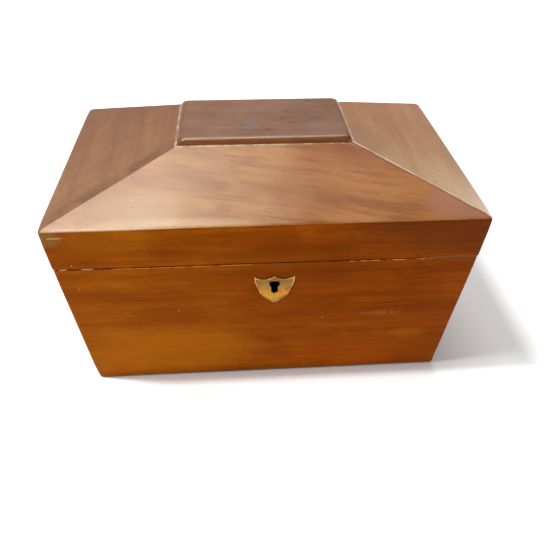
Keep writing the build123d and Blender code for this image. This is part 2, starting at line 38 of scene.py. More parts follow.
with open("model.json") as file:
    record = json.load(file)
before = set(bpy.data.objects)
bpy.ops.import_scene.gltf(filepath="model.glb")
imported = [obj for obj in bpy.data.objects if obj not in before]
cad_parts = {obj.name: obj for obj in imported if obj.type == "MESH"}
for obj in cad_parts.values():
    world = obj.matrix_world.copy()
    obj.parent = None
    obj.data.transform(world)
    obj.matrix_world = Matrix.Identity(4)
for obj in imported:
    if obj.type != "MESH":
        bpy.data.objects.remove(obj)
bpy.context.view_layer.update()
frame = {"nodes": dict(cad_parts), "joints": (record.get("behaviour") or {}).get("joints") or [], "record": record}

MM = 0.001

# Sharp size of the case, before its edges are eased
RIM = np.array([0.150, 0.0975])
RIM_Z = 0.151
LEAN = 0.0122 / 0.151
VENEER_T = 0.001
JOINT_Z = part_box("body_front_board")[1].z
LID_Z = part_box("lid_front_rail")[0].z
BASE_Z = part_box("body_front_veneer")[0].z
TABLET_LO, TABLET_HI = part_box("tablet")
ROOF_Z = TABLET_LO.z
FOOT = np.array([TABLET_HI.x, TABLET_HI.y])
HINGE = Vector(next(j for j in frame["joints"] if j["name"] == "lid_hinge")["pos_m"])
STOP_SLOPE = math.tan(math.radians(47.6))

# Level direction square to the right front hip, and how far along it the hip lies
HIP_WAY = np.array([RIM[1] - FOOT[1], RIM[0] - FOOT[0], 0]) / np.hypot(*(RIM - FOOT))
HIP_AT = HIP_WAY @ np.array([RIM[0], -RIM[1], 0])

# Roundness of the edges and of the knocked corners, and how far a knock reaches
EDGE_R = 2.4 * MM
CORNER_R = 3.8 * MM
CORNER_REACH = 16 * MM
SETTLE_ROUNDS = 80

# Worn waves: height of the broad and the fine ones, their length, and the seed
CASE_WAVES = (0.10 * MM, 0.03 * MM, 45 * MM, 9 * MM, 1)
TABLET_WAVES = (0.08 * MM, 0.03 * MM, 30 * MM, 7 * MM, 4)

# Each side's direction along it and direction out of it
SIDES = {
    "front": ((1, 0), (0, -1)),
    "right": ((0, 1), (1, 0)),
    "back": ((-1, 0), (0, 1)),
    "left": ((0, -1), (-1, 0)),
}


# ---- Surface of the worn case ----

def half_sizes(z):
    """Sharp half width and half depth of the case or lid at a height."""
    if z <= RIM_Z:
        return RIM - LEAN * (RIM_Z - z)
    return RIM + (FOOT - RIM) * (z - RIM_Z) / (ROOF_Z - RIM_Z)


def plane(way, point):
    """Outward unit normal and distance of the plane through a point."""
    normal = np.array(way) / np.linalg.norm(way)
    return normal, normal @ np.array(point)


def case_planes():
    """Planes of the four walls and four slopes."""
    planes = []
    rise = ROOF_Z - RIM_Z
    for _, (ox, oy) in SIDES.values():
        half = RIM[0] if ox else RIM[1]
        run = half - (FOOT[0] if ox else FOOT[1])
        for out, up in ((1.0, -LEAN), (rise, run)):
            planes.append(plane((ox * out, oy * out, up), (ox * half, oy * half, RIM_Z)))
    return planes


def settle(points, planes, radius):
    """Nearest points inside the planes moved in by the radius (Dykstra's projections)."""
    held = points.copy()
    pulls = [np.zeros_like(points) for _ in planes]
    for _ in range(SETTLE_ROUNDS):
        for i, (normal, distance) in enumerate(planes):
            moved = held + pulls[i]
            over = np.maximum(moved @ normal - (distance - radius), 0)
            landed = moved - over[:, None] * normal
            pulls[i] = moved - landed
            held = landed
    return held


def rounded(points, planes, radius):
    """The core point and outward direction under each point; down where it is in the core."""
    core = settle(points, planes, radius)
    way = points - core
    length = np.linalg.norm(way, axis=1)
    inside = length < 0.001 * MM
    way[inside] = (0, 0, -1)
    length[inside] = 1
    return core, way / length[:, None]


CORNERS = [(sx * RIM[0], sy * RIM[1], RIM_Z) for sx in (-1, 1) for sy in (-1, 1)]
CORNERS.append((-half_sizes(BASE_Z)[0], -half_sizes(BASE_Z)[1], BASE_Z))


def smooth(share):
    """Eases a share between 0 and 1 in and out."""
    return share * share * (3 - 2 * share)


def corner_wear(points):
    """1 at the knocked corners, falling to 0 a short way from them."""
    nearest = np.min([np.linalg.norm(points - np.array(c), axis=1) for c in CORNERS], axis=0)
    return smooth(np.clip(1 - nearest / CORNER_REACH, 0, 1))


def lumps(points, size, seed):
    """Smooth noise in -1..1 at each point, with lumps about as large as size."""
    shift = Vector((seed * 7.31, seed * 3.17, seed * 5.77))
    return np.array([noise.noise(Vector(p) / size + shift) for p in points])


def swelling(points, broad, fine, broad_size, fine_size, seed):
    """Rise and fall of a worn surface: broad and fine waves, and how long they are."""
    return broad * lumps(points, broad_size, seed) + fine * lumps(points, fine_size, seed + 1)


def worn_skin(points, depth):
    """Worn surface under the sharp points, sunk by depth along its normal."""
    soft_core, soft_way = rounded(points, PLANES, EDGE_R)
    worn_core, worn_way = rounded(points, PLANES, CORNER_R)
    wear = corner_wear(points)[:, None]
    soft, worn = soft_core + EDGE_R * soft_way, worn_core + CORNER_R * worn_way
    way = soft_way * (1 - wear) + worn_way * wear
    way /= np.linalg.norm(way, axis=1)[:, None]
    swell = swelling(points, *CASE_WAVES)
    return soft * (1 - wear) + worn * wear + way * (swell - depth)[:, None]


PLANES = case_planes()


# ---- Panels of veneer ----

def spread(length, near, step):
    """Places from 0 to 1 along an edge: the near distances at both ends, even steps between."""
    middle = length - 2 * near[-1]
    inner = np.linspace(near[-1], length - near[-1], max(2, int(middle / step) + 1))
    places = list(near[:-1]) + list(inner) + [length - d for d in reversed(near[:-1])]
    return np.array(places) / length


def long_axis(side):
    """0 for a side that runs along X, 1 for one along Y."""
    return 0 if SIDES[side][0][0] else 1


def joint_edge_z(side, along, way, inset):
    """Height of a panel's sawn edge, which the stop bevel cuts away behind the hinge."""
    start = JOINT_Z if way < 0 else LID_Z
    if side == "back":
        reach = half_sizes(start)[1] - inset - HINGE.y
        return start + way * STOP_SLOPE * reach / (1 - way * STOP_SLOPE * LEAN)
    reach = max(0.0, along - HINGE.y) if side in ("left", "right") else 0.0
    return start + way * STOP_SLOPE * reach


def grid_point(side, s, z):
    """Point on the sharp outer face, s of the way along its side, at a height."""
    (ax, ay), (ox, oy) = SIDES[side]
    half = half_sizes(z)
    along = (2 * s - 1) * (half[0] if ax else half[1])
    out = half[0] if ox else half[1]
    return np.array([ax * along + ox * out, ay * along + oy * out, z])


def sheet_of_points(side, columns, rows, low, high, inset):
    """Rows of sharp points between two edges; an edge is a height or a way from the joint."""
    points = []
    for t in rows:
        for s in columns:
            y = grid_point(side, s, JOINT_Z)[1]
            z0 = joint_edge_z(side, y, 1, inset) if low == "joint" else low
            z1 = joint_edge_z(side, y, -1, inset) if high == "joint" else high
            points.append(grid_point(side, s, z0 + t * (z1 - z0)))
    return np.array(points)


def edge_ease(distance, radius):
    """How far an eased edge drops below its face, at a distance in from the edge."""
    short = np.clip(radius - distance, 0, radius)
    return radius - np.sqrt(radius * radius - short * short)


def grid_quads(columns, rows):
    """Faces of a grid, as the numbers of their corners row by row."""
    starts = [r * columns + c for r in range(rows - 1) for c in range(columns - 1)]
    return [(a, a + 1, a + columns + 1, a + columns) for a in starts]


def closed_panel(name, outer, inner, columns, rows):
    """Closed mesh between an outer and an inner grid of the same shape."""
    vertices = [tuple(p) for p in np.concatenate([outer, inner])]
    shift = columns * rows
    faces = []
    for quad in grid_quads(columns, rows):
        faces += [quad, tuple(shift + v for v in reversed(quad))]
    rim = list(range(columns))
    rim += [r * columns + columns - 1 for r in range(1, rows)]
    rim += [(rows - 1) * columns + c for c in range(columns - 2, -1, -1)]
    rim += [r * columns for r in range(rows - 2, 0, -1)]
    faces += [(b, a, shift + a, shift + b) for a, b in zip(rim, rim[1:] + rim[:1])]
    return mesh_object(name, vertices, faces)


def add_object(name, data):
    """New object in the scene."""
    piece = bpy.data.objects.new(name, data)
    bpy.context.collection.objects.link(piece)
    return piece


def shade(mesh, sharp):
    """Smooth shading, with the folds past an angle in degrees kept sharp."""
    mesh.shade_smooth()
    mesh.set_sharp_from_angle(angle=math.radians(sharp))


def mesh_object(name, vertices, faces, sharp=40):
    """Smooth-shaded object with its folds past the angle kept sharp."""
    mesh = bpy.data.meshes.new(name)
    mesh.from_pydata(vertices, [], faces)
    mesh.validate()
    shade(mesh, sharp)
    return add_object(name, mesh)


def settle_piece(piece, body, material, node):
    """Puts a rebuilt piece on its body in place of its CAD node."""
    if not piece.data.materials:
        piece.data.materials.append(material)
    piece.data.materials[0] = material
    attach(piece, body)
    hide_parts(node)


# Grid lines near an upright corner and near a sawn edge, and the step between the others
NEAR_CORNER = np.array([0, 0.25, 0.55, 0.95, 1.4, 1.9, 2.5, 3.2, 4.2, 5.6]) * MM
NEAR_EDGE = np.array([0, 0.12, 0.3, 0.5, 0.8, 1.2, 1.8, 2.6, 3.8]) * MM
GRID_STEP = 2.6 * MM

# Knocks out of the sawn edges: place along the side from -1 to 1, length and depth in mm
CHIPS = {
    "front": ((-0.93, 5.0, 0.5), (-0.80, 3.5, 0.4), (-0.70, 2.5, 0.35), (-0.22, 2.0, 0.3),
              (0.16, 2.6, 0.3), (0.72, 6.0, 0.35), (0.90, 7.0, 0.4)),
    "left": ((-0.4, 4.0, 0.4), (0.5, 5.0, 0.3)),
    "right": ((0.2, 4.0, 0.35), (-0.6, 3.0, 0.4)),
    "back": ((0.4, 5.0, 0.3), (-0.5, 4.0, 0.4)),
}
CHIP_HEIGHT = 1.1 * MM

# Roundness of the sawn edges and of the case's lower edge
SAWN_R = 0.5 * MM
BASE_R = 0.7 * MM


def chip_depth(side, points, edge_distance):
    """How deep the knocks cut at each point, near the panel's sawn edge."""
    depth = np.zeros(len(points))
    axis = long_axis(side)
    half = half_sizes(JOINT_Z)[axis]
    for place, length, deep in CHIPS[side]:
        across = (points[:, axis] - place * half) / (length * MM / 2)
        down = edge_distance / CHIP_HEIGHT
        bite = np.clip(1 - across * across - down * down, 0, 1)
        depth = np.maximum(depth, deep * MM * np.sqrt(bite))
    return depth


def wall_panel(name, side, low, high, body, material):
    """One side's veneer of the case or of the lid's band."""
    z0 = LID_Z if low == "joint" else low
    z1 = JOINT_Z if high == "joint" else high
    columns = spread(2 * half_sizes(z1)[long_axis(side)], NEAR_CORNER, GRID_STEP)
    rows = spread(z1 - z0, NEAR_EDGE, GRID_STEP)
    outer = sheet_of_points(side, columns, rows, low, high, 0.0)
    inner = sheet_of_points(side, columns, rows, low, high, VENEER_T)
    sawn_edge = np.abs(outer[:, 2] - (z0 if low == "joint" else z1))
    depth = edge_ease(sawn_edge, SAWN_R) + chip_depth(side, outer, sawn_edge)
    if high == "joint":
        depth += edge_ease(np.abs(outer[:, 2] - z0), BASE_R)
    depth += joint_step(outer, high == "joint", sawn_edge)
    skin, back = worn_skin(outer, depth), worn_skin(inner, VENEER_T)
    piece = closed_panel(f"skin_{name}", skin, back, len(columns), len(rows))
    settle_piece(piece, body, material, name)
    return piece


# How far the case falls back and the lid stands proud at the joint's ends
STEP_BELOW = 0.22 * MM
STEP_ABOVE = 0.26 * MM
STEP_REACH = 22 * MM

# How far the slopes' veneer has risen or sunk along the right front mitre
HIP_LIFTS = {"right": 0.5 * MM, "front": -0.25 * MM}
HIP_REACH = 2.4 * MM


def joint_step(points, below, edge_distance):
    """The lid stands slightly proud of the case towards both ends of the joint."""
    ends = np.clip(np.abs(points[:, 0]) / half_sizes(JOINT_Z)[0] * 2.2 - 1.2, 0, 1)
    near = np.clip(1 - edge_distance / STEP_REACH, 0, 1)
    return (STEP_BELOW if below else -STEP_ABOVE) * ends * near * near


def hip_lift(points, side):
    """Waves in the veneer along the right front mitre, risen on the right, sunk in front."""
    near = smooth(np.clip(1 - np.abs(points @ HIP_WAY - HIP_AT) / HIP_REACH, 0, 1))
    return HIP_LIFTS.get(side, 0.0) * near * (1 + 0.5 * lumps(points, 8 * MM, 6))


def slope_panel(side, material):
    """Veneer of one slope of the lid, from the rim to the tablet's foot."""
    axis = long_axis(side)
    columns = spread(2 * RIM[axis], NEAR_CORNER[:8], GRID_STEP)
    run = math.hypot(ROOF_Z - RIM_Z, RIM[1 - axis] - FOOT[1 - axis])
    rows = spread(run, NEAR_EDGE, GRID_STEP)
    outer = sheet_of_points(side, columns, rows, RIM_Z, ROOF_Z, 0.0)
    skin, back = worn_skin(outer, -hip_lift(outer, side)), worn_skin(outer, VENEER_T)
    node = f"lid_{side}_slope_veneer"
    piece = closed_panel(f"skin_{node}", skin, back, len(columns), len(rows))
    settle_piece(piece, "lid", material, node)


# ---- Tablet ----

def block_faces(lo, hi, lean, step):
    """Merged grid over all six faces of a block whose sides lean in by lean at the top."""
    mesh = bmesh.new()
    size, middle = hi - lo, (lo + hi) / 2
    places = [spread(size[i], NEAR_EDGE[:7 if i < 2 else 5], step) for i in range(3)]
    for fixed in range(3):
        u, v = [i for i in range(3) if i != fixed]
        for end in (0, 1):
            made = []
            for b in places[v]:
                for a in places[u]:
                    share = [0.0, 0.0, 0.0]
                    share[fixed], share[u], share[v] = end, a, b
                    point = [lo[i] + share[i] * size[i] for i in range(3)]
                    for i in range(2):
                        shrink = 1 - lean * share[2] / (size[i] / 2)
                        point[i] = middle[i] + (point[i] - middle[i]) * shrink
                    made.append(mesh.verts.new(point))
            for quad in grid_quads(len(places[u]), len(places[v])):
                mesh.faces.new([made[i] for i in quad])
    bmesh.ops.remove_doubles(mesh, verts=mesh.verts, dist=0.01 * MM)
    bmesh.ops.recalc_face_normals(mesh, faces=mesh.faces)
    return mesh


TABLET_R = 2.8 * MM
TABLET_LEAN = 1.0 * MM
CLIP = 1.0 * MM
CLIP_RISE = 0.9
# Chip at the right front corner: how far in from it, how wide and how deep
CHIP_IN = np.array([0.6, -0.4, 1.0]) * MM
CHIP_R = 2.6 * MM
CHIP_DEPTH = 1.1 * MM


def tablet_planes():
    """Planes of the tablet's top, its leaning sides and its four worn corners."""
    lo, hi = TABLET_LO, TABLET_HI
    planes = [plane((0, 0, 1.0), (0, 0, hi.z))]
    for _, (ox, oy) in SIDES.values():
        half = hi.x if ox else hi.y
        way = (ox, oy, TABLET_LEAN / (hi.z - lo.z))
        planes.append(plane(way, (ox * half, oy * half, lo.z)))
    for sx in (-1, 1):
        for sy in (-1, 1):
            corner = (sx * (hi.x - CLIP), sy * (hi.y - CLIP), lo.z)
            planes.append(plane((sx, sy, CLIP_RISE), corner))
    return planes


def tablet(material, edge_material):
    """Raised slab with softly worn upper edges and corners, and a chip at the right front."""
    lo, hi = TABLET_LO, TABLET_HI
    mesh = block_faces(lo, hi, TABLET_LEAN, GRID_STEP)
    points = np.array([v.co for v in mesh.verts])
    core, way = rounded(points, tablet_planes(), TABLET_R)
    surface = core + TABLET_R * way
    under = points[:, 2] < lo.z + 0.01 * MM
    surface[under, 2] = lo.z
    swell = swelling(points, *TABLET_WAVES)
    chip = np.array([hi.x, -hi.y, hi.z]) - CHIP_IN
    bite = np.clip(1 - np.linalg.norm(points - chip, axis=1) / CHIP_R, 0, 1)
    surface += way * (np.where(under, 0, swell) - CHIP_DEPTH * bite)[:, None]
    for vertex, place in zip(mesh.verts, surface):
        vertex.co = place
    data = bpy.data.meshes.new("skin_tablet")
    mesh.to_mesh(data)
    mesh.free()
    shade(data, 50)
    piece = add_object("skin_tablet", data)
    settle_piece(piece, "lid", material, "tablet")
    data.materials.append(edge_material)
    for polygon in data.polygons:
        polygon.material_index = 1 if abs(polygon.normal.z) < 0.5 else 0


# ---- Shield and keyhole ----

SHIELD_LO, SHIELD_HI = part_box("escutcheon")
CANT = math.atan(LEAN)
SHIELD_X = (SHIELD_LO.x + SHIELD_HI.x) / 2
SHIELD_HALF = (SHIELD_HI.x - SHIELD_LO.x) / 2
SHIELD_DROP = (SHIELD_HI.z - SHIELD_LO.z) / math.cos(CANT)
# Stops down the shield's right side, as shares of its half width and its height
SHIELD_SIDE = ((1.0, 0.0), (0.975, 0.2), (0.86, 0.42), (0.57, 0.76), (0.0, 1.0))
SHIELD_DIP = 3.2 * MM
SEAT_SCALE = 1.004
SEAT_GAP = 0.05 * MM
SEAT_DEPTH = 6 * MM
HORN_REACH = 1.9 * MM
FIELD_T = 1.5 * MM
BORDER_T = 1.8 * MM
BORDER_WIDTH = 0.85 * MM
# Keyhole: depth of its head's centre, radii, whole length, and how flat its head is cut
KEY_DOWN = 8.0 * MM
KEY_R = 3.75 * MM
KEY_LENGTH = 13.2 * MM
KEY_FOOT_R = 2.3 * MM
KEY_FLAT = 0.72


def on_face(u, v, w):
    """Point across, up and out from the top middle of the shield, in the front's plane."""
    top_z = SHIELD_HI.z
    face_y = -half_sizes(top_z)[1]
    up = Vector((0, -math.sin(CANT), math.cos(CANT)))
    out = Vector((0, -math.cos(CANT), -math.sin(CANT)))
    return Vector((SHIELD_X + u, face_y, top_z)) + v * up + w * out


def smooth_through(stops, steps):
    """Points of a smooth curve through the stops (Catmull-Rom)."""
    ends = [stops[0]] + list(stops) + [stops[-1]]
    points = []
    for a, b, c, d in zip(ends, ends[1:], ends[2:], ends[3:]):
        for i in range(steps):
            t = i / steps
            points.append(tuple(
                0.5 * (2 * b[k] + (c[k] - a[k]) * t
                       + (2 * a[k] - 5 * b[k] + 4 * c[k] - d[k]) * t * t
                       + (3 * b[k] - a[k] - 3 * c[k] + d[k]) * t ** 3)
                for k in range(2)
            ))
    return points + [tuple(stops[-1])]


def shield_outline():
    """Outline from the centre peak round the right horn to the foot and back up the left."""
    shares = [i / 12 for i in range(13)]
    scallop = [(SHIELD_HALF * s, -SHIELD_DIP * (4 * s * (1 - s)) ** 0.8) for s in shares]
    side = [(SHIELD_HALF * x, -SHIELD_DROP * y) for x, y in SHIELD_SIDE]
    right = scallop[:-1] + smooth_through(side, 7)
    return right + [(-x, y) for x, y in reversed(right[1:-1])]


def keyhole_outline():
    """Round head over a narrower foot, with a slightly uneven edge."""
    points = []
    foot_v = -KEY_DOWN - KEY_LENGTH + KEY_R + KEY_FOOT_R
    join = math.asin(KEY_FOOT_R / KEY_R)
    for i in range(25):
        turn = -math.pi / 2 + join + (2 * math.pi - 2 * join) * i / 24
        head = min(KEY_FLAT, math.sin(turn))
        points.append((KEY_R * math.cos(turn), -KEY_DOWN + KEY_R * head))
    for i in range(9):
        turn = math.pi + math.pi * i / 8
        points.append((KEY_FOOT_R * math.cos(turn), foot_v + KEY_FOOT_R * 0.8 * math.sin(turn)))
    return [(u + 0.12 * MM * noise.noise(Vector((u, v, 0)) * 900), v) for u, v in points]


def settled_mesh(piece):
    """New mesh of a piece as it stands after its curve's fill or its modifiers."""
    bpy.context.view_layer.update()
    shape = piece.evaluated_get(bpy.context.evaluated_depsgraph_get())
    return bpy.data.meshes.new_from_object(shape)


def flat_curve(name, outlines, thickness, bevel):
    """Plate with bevelled edges from closed outlines; the second one on are holes."""
    curve = bpy.data.curves.new(name, "CURVE")
    curve.dimensions = "2D"
    curve.fill_mode = "BOTH"
    curve.extrude = thickness / 2 - bevel
    curve.bevel_depth = bevel
    curve.bevel_resolution = 2
    curve.offset = -bevel
    for outline in outlines:
        line = curve.splines.new("POLY")
        line.points.add(len(outline) - 1)
        line.use_cyclic_u = True
        for point, (u, v) in zip(line.points, outline):
            point.co = (u, v, 0, 1)
    shape = add_object(name, curve)
    mesh = settled_mesh(shape)
    bpy.data.objects.remove(shape)
    return add_object(name, mesh)


def lay_on_face(piece, depth):
    """Moves a flat plate's mesh from its own plane to the front's, at a depth."""
    for vertex in piece.data.vertices:
        u, v, w = vertex.co
        vertex.co = on_face(u, v, w + depth)


def weld(piece, distance):
    """Joins the piece's doubled vertices."""
    mesh = bmesh.new()
    mesh.from_mesh(piece.data)
    bmesh.ops.remove_doubles(mesh, verts=mesh.verts, dist=distance)
    bmesh.ops.recalc_face_normals(mesh, faces=mesh.faces)
    mesh.to_mesh(piece.data)
    mesh.free()


# Least cosine used at a sharp turn, so that an inset outline grows no spike there
SHARPEST = 0.6


def inset(outline, distance):
    """Clockwise outline moved inwards by a distance."""
    moved = []
    befores, afters = outline[-1:] + outline[:-1], outline[1:] + outline[:1]
    for before, here, after in zip(befores, outline, afters):
        ways = []
        for a, b in ((before, here), (here, after)):
            along = Vector((b[0] - a[0], b[1] - a[1])).normalized()
            ways.append(Vector((along.y, -along.x)))
        middle = (ways[0] + ways[1]).normalized()
        reach = distance / max(SHARPEST, middle.dot(ways[0]))
        moved.append((here[0] + middle.x * reach, here[1] + middle.y * reach))
    return moved


def joined(name, pieces):
    """One object from several, each with its own material index."""
    mesh = bmesh.new()
    for index, piece in enumerate(pieces):
        for polygon in piece.data.polygons:
            polygon.material_index = index
        mesh.from_mesh(piece.data)
        bpy.data.objects.remove(piece)
    data = bpy.data.meshes.new(name)
    mesh.to_mesh(data)
    mesh.free()
    return add_object(name, data)


def shield(face_material, rim_material):
    """Brass shield: a bright worn border standing proud of a tarnished field."""
    outline = shield_outline()
    blunt = [p for p in outline if math.hypot(abs(p[0]) - SHIELD_HALF, p[1]) > HORN_REACH]
    overlap = inset(blunt, BORDER_WIDTH - 0.1 * MM)
    field = flat_curve("field", [overlap, keyhole_outline()], FIELD_T, 0.2 * MM)
    border = flat_curve("border", [outline, inset(blunt, BORDER_WIDTH)], BORDER_T, 0.3 * MM)
    for plate, thickness in ((field, FIELD_T), (border, BORDER_T)):
        weld(plate, 0.02 * MM)
        lay_on_face(plate, thickness / 2 - VENEER_T)
    piece = joined("skin_escutcheon", [field, border])
    settle_piece(piece, "case", face_material, "escutcheon")
    piece.data.materials.append(rim_material)
    shade(piece.data, 35)


def carve(piece, cutter, operation="DIFFERENCE"):
    """Cuts a piece with another mesh for good."""
    cut = piece.modifiers.new("carve", "BOOLEAN")
    cut.operation = operation
    cut.solver = "EXACT"
    cut.object = cutter
    mesh = settled_mesh(piece)
    piece.modifiers.clear()
    piece.data = mesh


def seat_shield(front):
    """Cuts the shield's seat out of the front veneer."""
    outline = [(u * SEAT_SCALE, v * SEAT_SCALE + SEAT_GAP) for u, v in shield_outline()]
    cutter = flat_curve("seat", [outline], SEAT_DEPTH, 0.0)
    lay_on_face(cutter, 0)
    weld(cutter, 0.01 * MM)
    carve(front, cutter)
    bpy.data.objects.remove(cutter)


# ---- Boards under the worn corners ----

CORE_DEPTH = 0.35 * MM
CORE_NEAR = np.arange(0, 24, 2) * MM
CORE_STEP = 40 * MM
LID_BOARDS = [f"lid_{side}_{part}" for side in SIDES for part in ("rail", "slope")]
BODY_BOARDS = ["body_front_board", "body_left_board"]


def worn_core(heights):
    """Closed solid just under the worn skin, to cut the boards beneath it to shape."""
    ring = []
    for side, (way, _) in SIDES.items():
        length = 2 * (RIM[0] if way[0] else RIM[1])
        ring += [(side, s) for s in spread(length, CORE_NEAR, CORE_STEP)[:-1]]
    points = np.array([grid_point(side, s, z) for z in heights for side, s in ring])
    skin = worn_skin(points, CORE_DEPTH)
    count, last = len(ring), len(heights) - 1
    faces = [tuple(reversed(range(count))), tuple(last * count + i for i in range(count))]
    for r in range(last):
        for i in range(count):
            a, b = r * count + i, r * count + (i + 1) % count
            faces.append((a, b, b + count, a + count))
    return mesh_object("core", [tuple(p) for p in skin], faces)


def worn_boards(nodes, body, heights, materials):
    """Copies of CAD boards with their knocked corners cut back under the veneer."""
    core = worn_core(heights)
    for node in nodes:
        piece = add_object(f"worn_{node}", frame["nodes"][node].data.copy())
        weld(piece, 0.005 * MM)
        carve(piece, core, "INTERSECT")
        kind = "holed_wood" if node == "body_front_board" else "carcass_wood"
        settle_piece(piece, body, materials[kind], node)
        ease_edges(piece)
    bpy.data.objects.remove(core)


# ---- Materials ----

def linear(colour):
    """Scene colour of an 8-bit display colour."""
    shares = [c / 255 for c in colour]
    return tuple(((c + 0.055) / 1.055) ** 2.4 if c > 0.0404 else c / 12.92 for c in shares) + (1.0,)


def fill_ramp(node, stops):
    """Gives a colour ramp its stops, rows of place and scene colour."""
    elements = node.color_ramp.elements
    while len(elements) < len(stops):
        elements.new(0.5)
    for element, (at, colour) in zip(elements, stops):
        element.position = at
        element.color = colour


class Paint:
    """A material being built: helpers that add nodes and hand back their outputs."""

    def __init__(self, name):
        self.material = bpy.data.materials.new(name)
        self.material.use_nodes = True
        self.tree = self.material.node_tree
        self.shader = self.tree.nodes["Principled BSDF"]
        self.place = self.add("ShaderNodeTexCoord").outputs["Object"]

    def add(self, kind, inputs=(), **settings):
        """New node with its settings, and its inputs by name or number."""
        node = self.tree.nodes.new(kind)
        for key, value in settings.items():
            setattr(node, key, value)
        for socket, value in dict(inputs).items():
            self.feed(value, node.inputs[socket])
        return node

    def feed(self, value, socket):
        if isinstance(value, bpy.types.NodeSocket):
            self.tree.links.new(value, socket)
        else:
            socket.default_value = value

    def scaled(self, scale, turn=(0, 0, 0), shift=(0, 0, 0), vector=None):
        """The object's place scaled along each axis, turned and shifted."""
        where = {"Location": shift, "Rotation": turn, "Scale": scale}
        mapping = self.add("ShaderNodeMapping", {"Vector": vector or self.place, **where})
        return mapping.outputs["Vector"]

    def even(self, scale):
        """The object's place scaled the same along every axis."""
        return self.scaled((scale, scale, scale))

    def noise(self, vector, scale=1.0, detail=3.0, rough=0.55, bend=0.0):
        """Smooth noise around 0.5."""
        inputs = {"Vector": vector, "Scale": scale, "Detail": detail, "Roughness": rough,
                  "Distortion": bend}
        return self.add("ShaderNodeTexNoise", inputs).outputs["Fac"]

    def cells(self, vector, scale):
        """Distance to the nearest cell's middle, and the cell's random colour."""
        node = self.add("ShaderNodeTexVoronoi", {"Vector": vector, "Scale": scale})
        return node.outputs["Distance"], node.outputs["Color"]

    def math(self, operation, a, b=0.0):
        return self.add("ShaderNodeMath", {0: a, 1: b}, operation=operation).outputs[0]

    def times(self, a, b):
        return self.math("MULTIPLY", a, b)

    def total(self, *parts):
        """Sum of values, each with its weight."""
        whole = self.times(*parts[0])
        for part in parts[1:]:
            whole = self.math("ADD", whole, self.times(*part))
        return whole

    def axis(self, name):
        return self.add("ShaderNodeSeparateXYZ", {0: self.place}).outputs[name]

    def between(self, value, low, high, to_low=0.0, to_high=1.0):
        """Eased step from one number to another as the value goes from low to high."""
        inputs = {"Value": value, "From Min": low, "From Max": high, "To Min": to_low,
                  "To Max": to_high}
        settings = {"clamp": True, "interpolation_type": "SMOOTHSTEP"}
        return self.add("ShaderNodeMapRange", inputs, **settings).outputs["Result"]

    def mix(self, share, a, b, blend="MIX"):
        settings = {"data_type": "RGBA", "blend_type": blend}
        return self.add("ShaderNodeMix", {0: share, 6: a, 7: b}, **settings).outputs[2]

    def tones(self, share, colours, places=None):
        """Colour ramp through 8-bit display colours, evenly spaced unless placed."""
        places = places or [i / (len(colours) - 1) for i in range(len(colours))]
        return self.ramp(share, list(zip(places, map(linear, colours))))

    def ramp(self, share, stops):
        """Colour ramp through scene colours at their places."""
        node = self.add("ShaderNodeValToRGB", {"Fac": share})
        fill_ramp(node, stops)
        return node.outputs["Color"]

    def near(self, centre, reach, uneven):
        """1 at a place, fading to 0 at its reach along each axis, with a ragged edge."""
        shift = tuple(-c / r for c, r in zip(centre, reach))
        vector = self.scaled(tuple(1 / r for r in reach), shift=shift)
        far = self.add("ShaderNodeVectorMath", {0: vector}, operation="LENGTH").outputs["Value"]
        ragged = self.noise(self.place, 420.0, 3.0)
        away = self.math("ADD", far, self.times(ragged, uneven))
        return self.between(away, 0.45 + uneven / 2, 1.0 + uneven / 2, 1.0, 0.0)

    def line(self, value, at, reach):
        """1 where a value is at its mark, fading to 0 at a distance."""
        away = self.math("ABSOLUTE", self.math("SUBTRACT", value, at))
        return self.between(away, reach * 0.4, reach, 1.0, 0.0)

    def bump(self, height, strength, distance):
        inputs = {"Strength": strength, "Distance": distance, "Height": height}
        return self.add("ShaderNodeBump", inputs).outputs["Normal"]

    def finish(self, colour, rough, normal=None, marks=(), **uniform):
        """Lays the marks and feeds the shader; its other inputs are plain numbers, by name."""
        for lay in marks:
            colour = lay(self, colour)
        self.feed(colour, self.shader.inputs["Base Color"])
        self.feed(rough, self.shader.inputs["Roughness"])
        if normal is not None:
            self.feed(normal, self.shader.inputs["Normal"])
        for key, value in uniform.items():
            name = key.replace("_", " ").title().replace("Ior", "IOR")
            self.shader.inputs[name].default_value = value
        return self.material


PORE_TONE = (0.04, 0.012, 0.004, 1)


def grain_lines(paint, along, turn, seed):
    """Long streaks, fine pores and soft mottling of a plank cut along one axis."""
    flow = paint.noise(paint.scaled((9, 9, 9), shift=(seed, 0, 0)), 1.0, 2.0)
    sway = paint.times(paint.math("SUBTRACT", flow, 0.5), 0.010)
    sideways = {i: sway for i in range(3) if "XYZ"[i] != along}
    bend = paint.add("ShaderNodeCombineXYZ", sideways).outputs[0]
    turned = paint.scaled((1, 1, 1), turn=turn, shift=(0, 0, seed * 0.1))
    moved = paint.add("ShaderNodeVectorMath", {0: turned, 1: bend}, operation="ADD").outputs[0]

    def stretched(length, width):
        scale = tuple(1 / length if axis == along else 1 / width for axis in "XYZ")
        return paint.scaled(scale, vector=moved)

    bands = paint.noise(stretched(0.30, 0.016), 1.0, 3.0, 0.5)
    streaks = paint.noise(stretched(0.085, 0.0032), 1.0, 4.0, 0.6)
    pores = paint.noise(stretched(0.014, 0.0006), 1.0, 2.0, 0.6)
    mottle = paint.noise(stretched(0.035, 0.020), 1.0, 3.0, 0.5, 0.6)
    return bands, streaks, pores, mottle


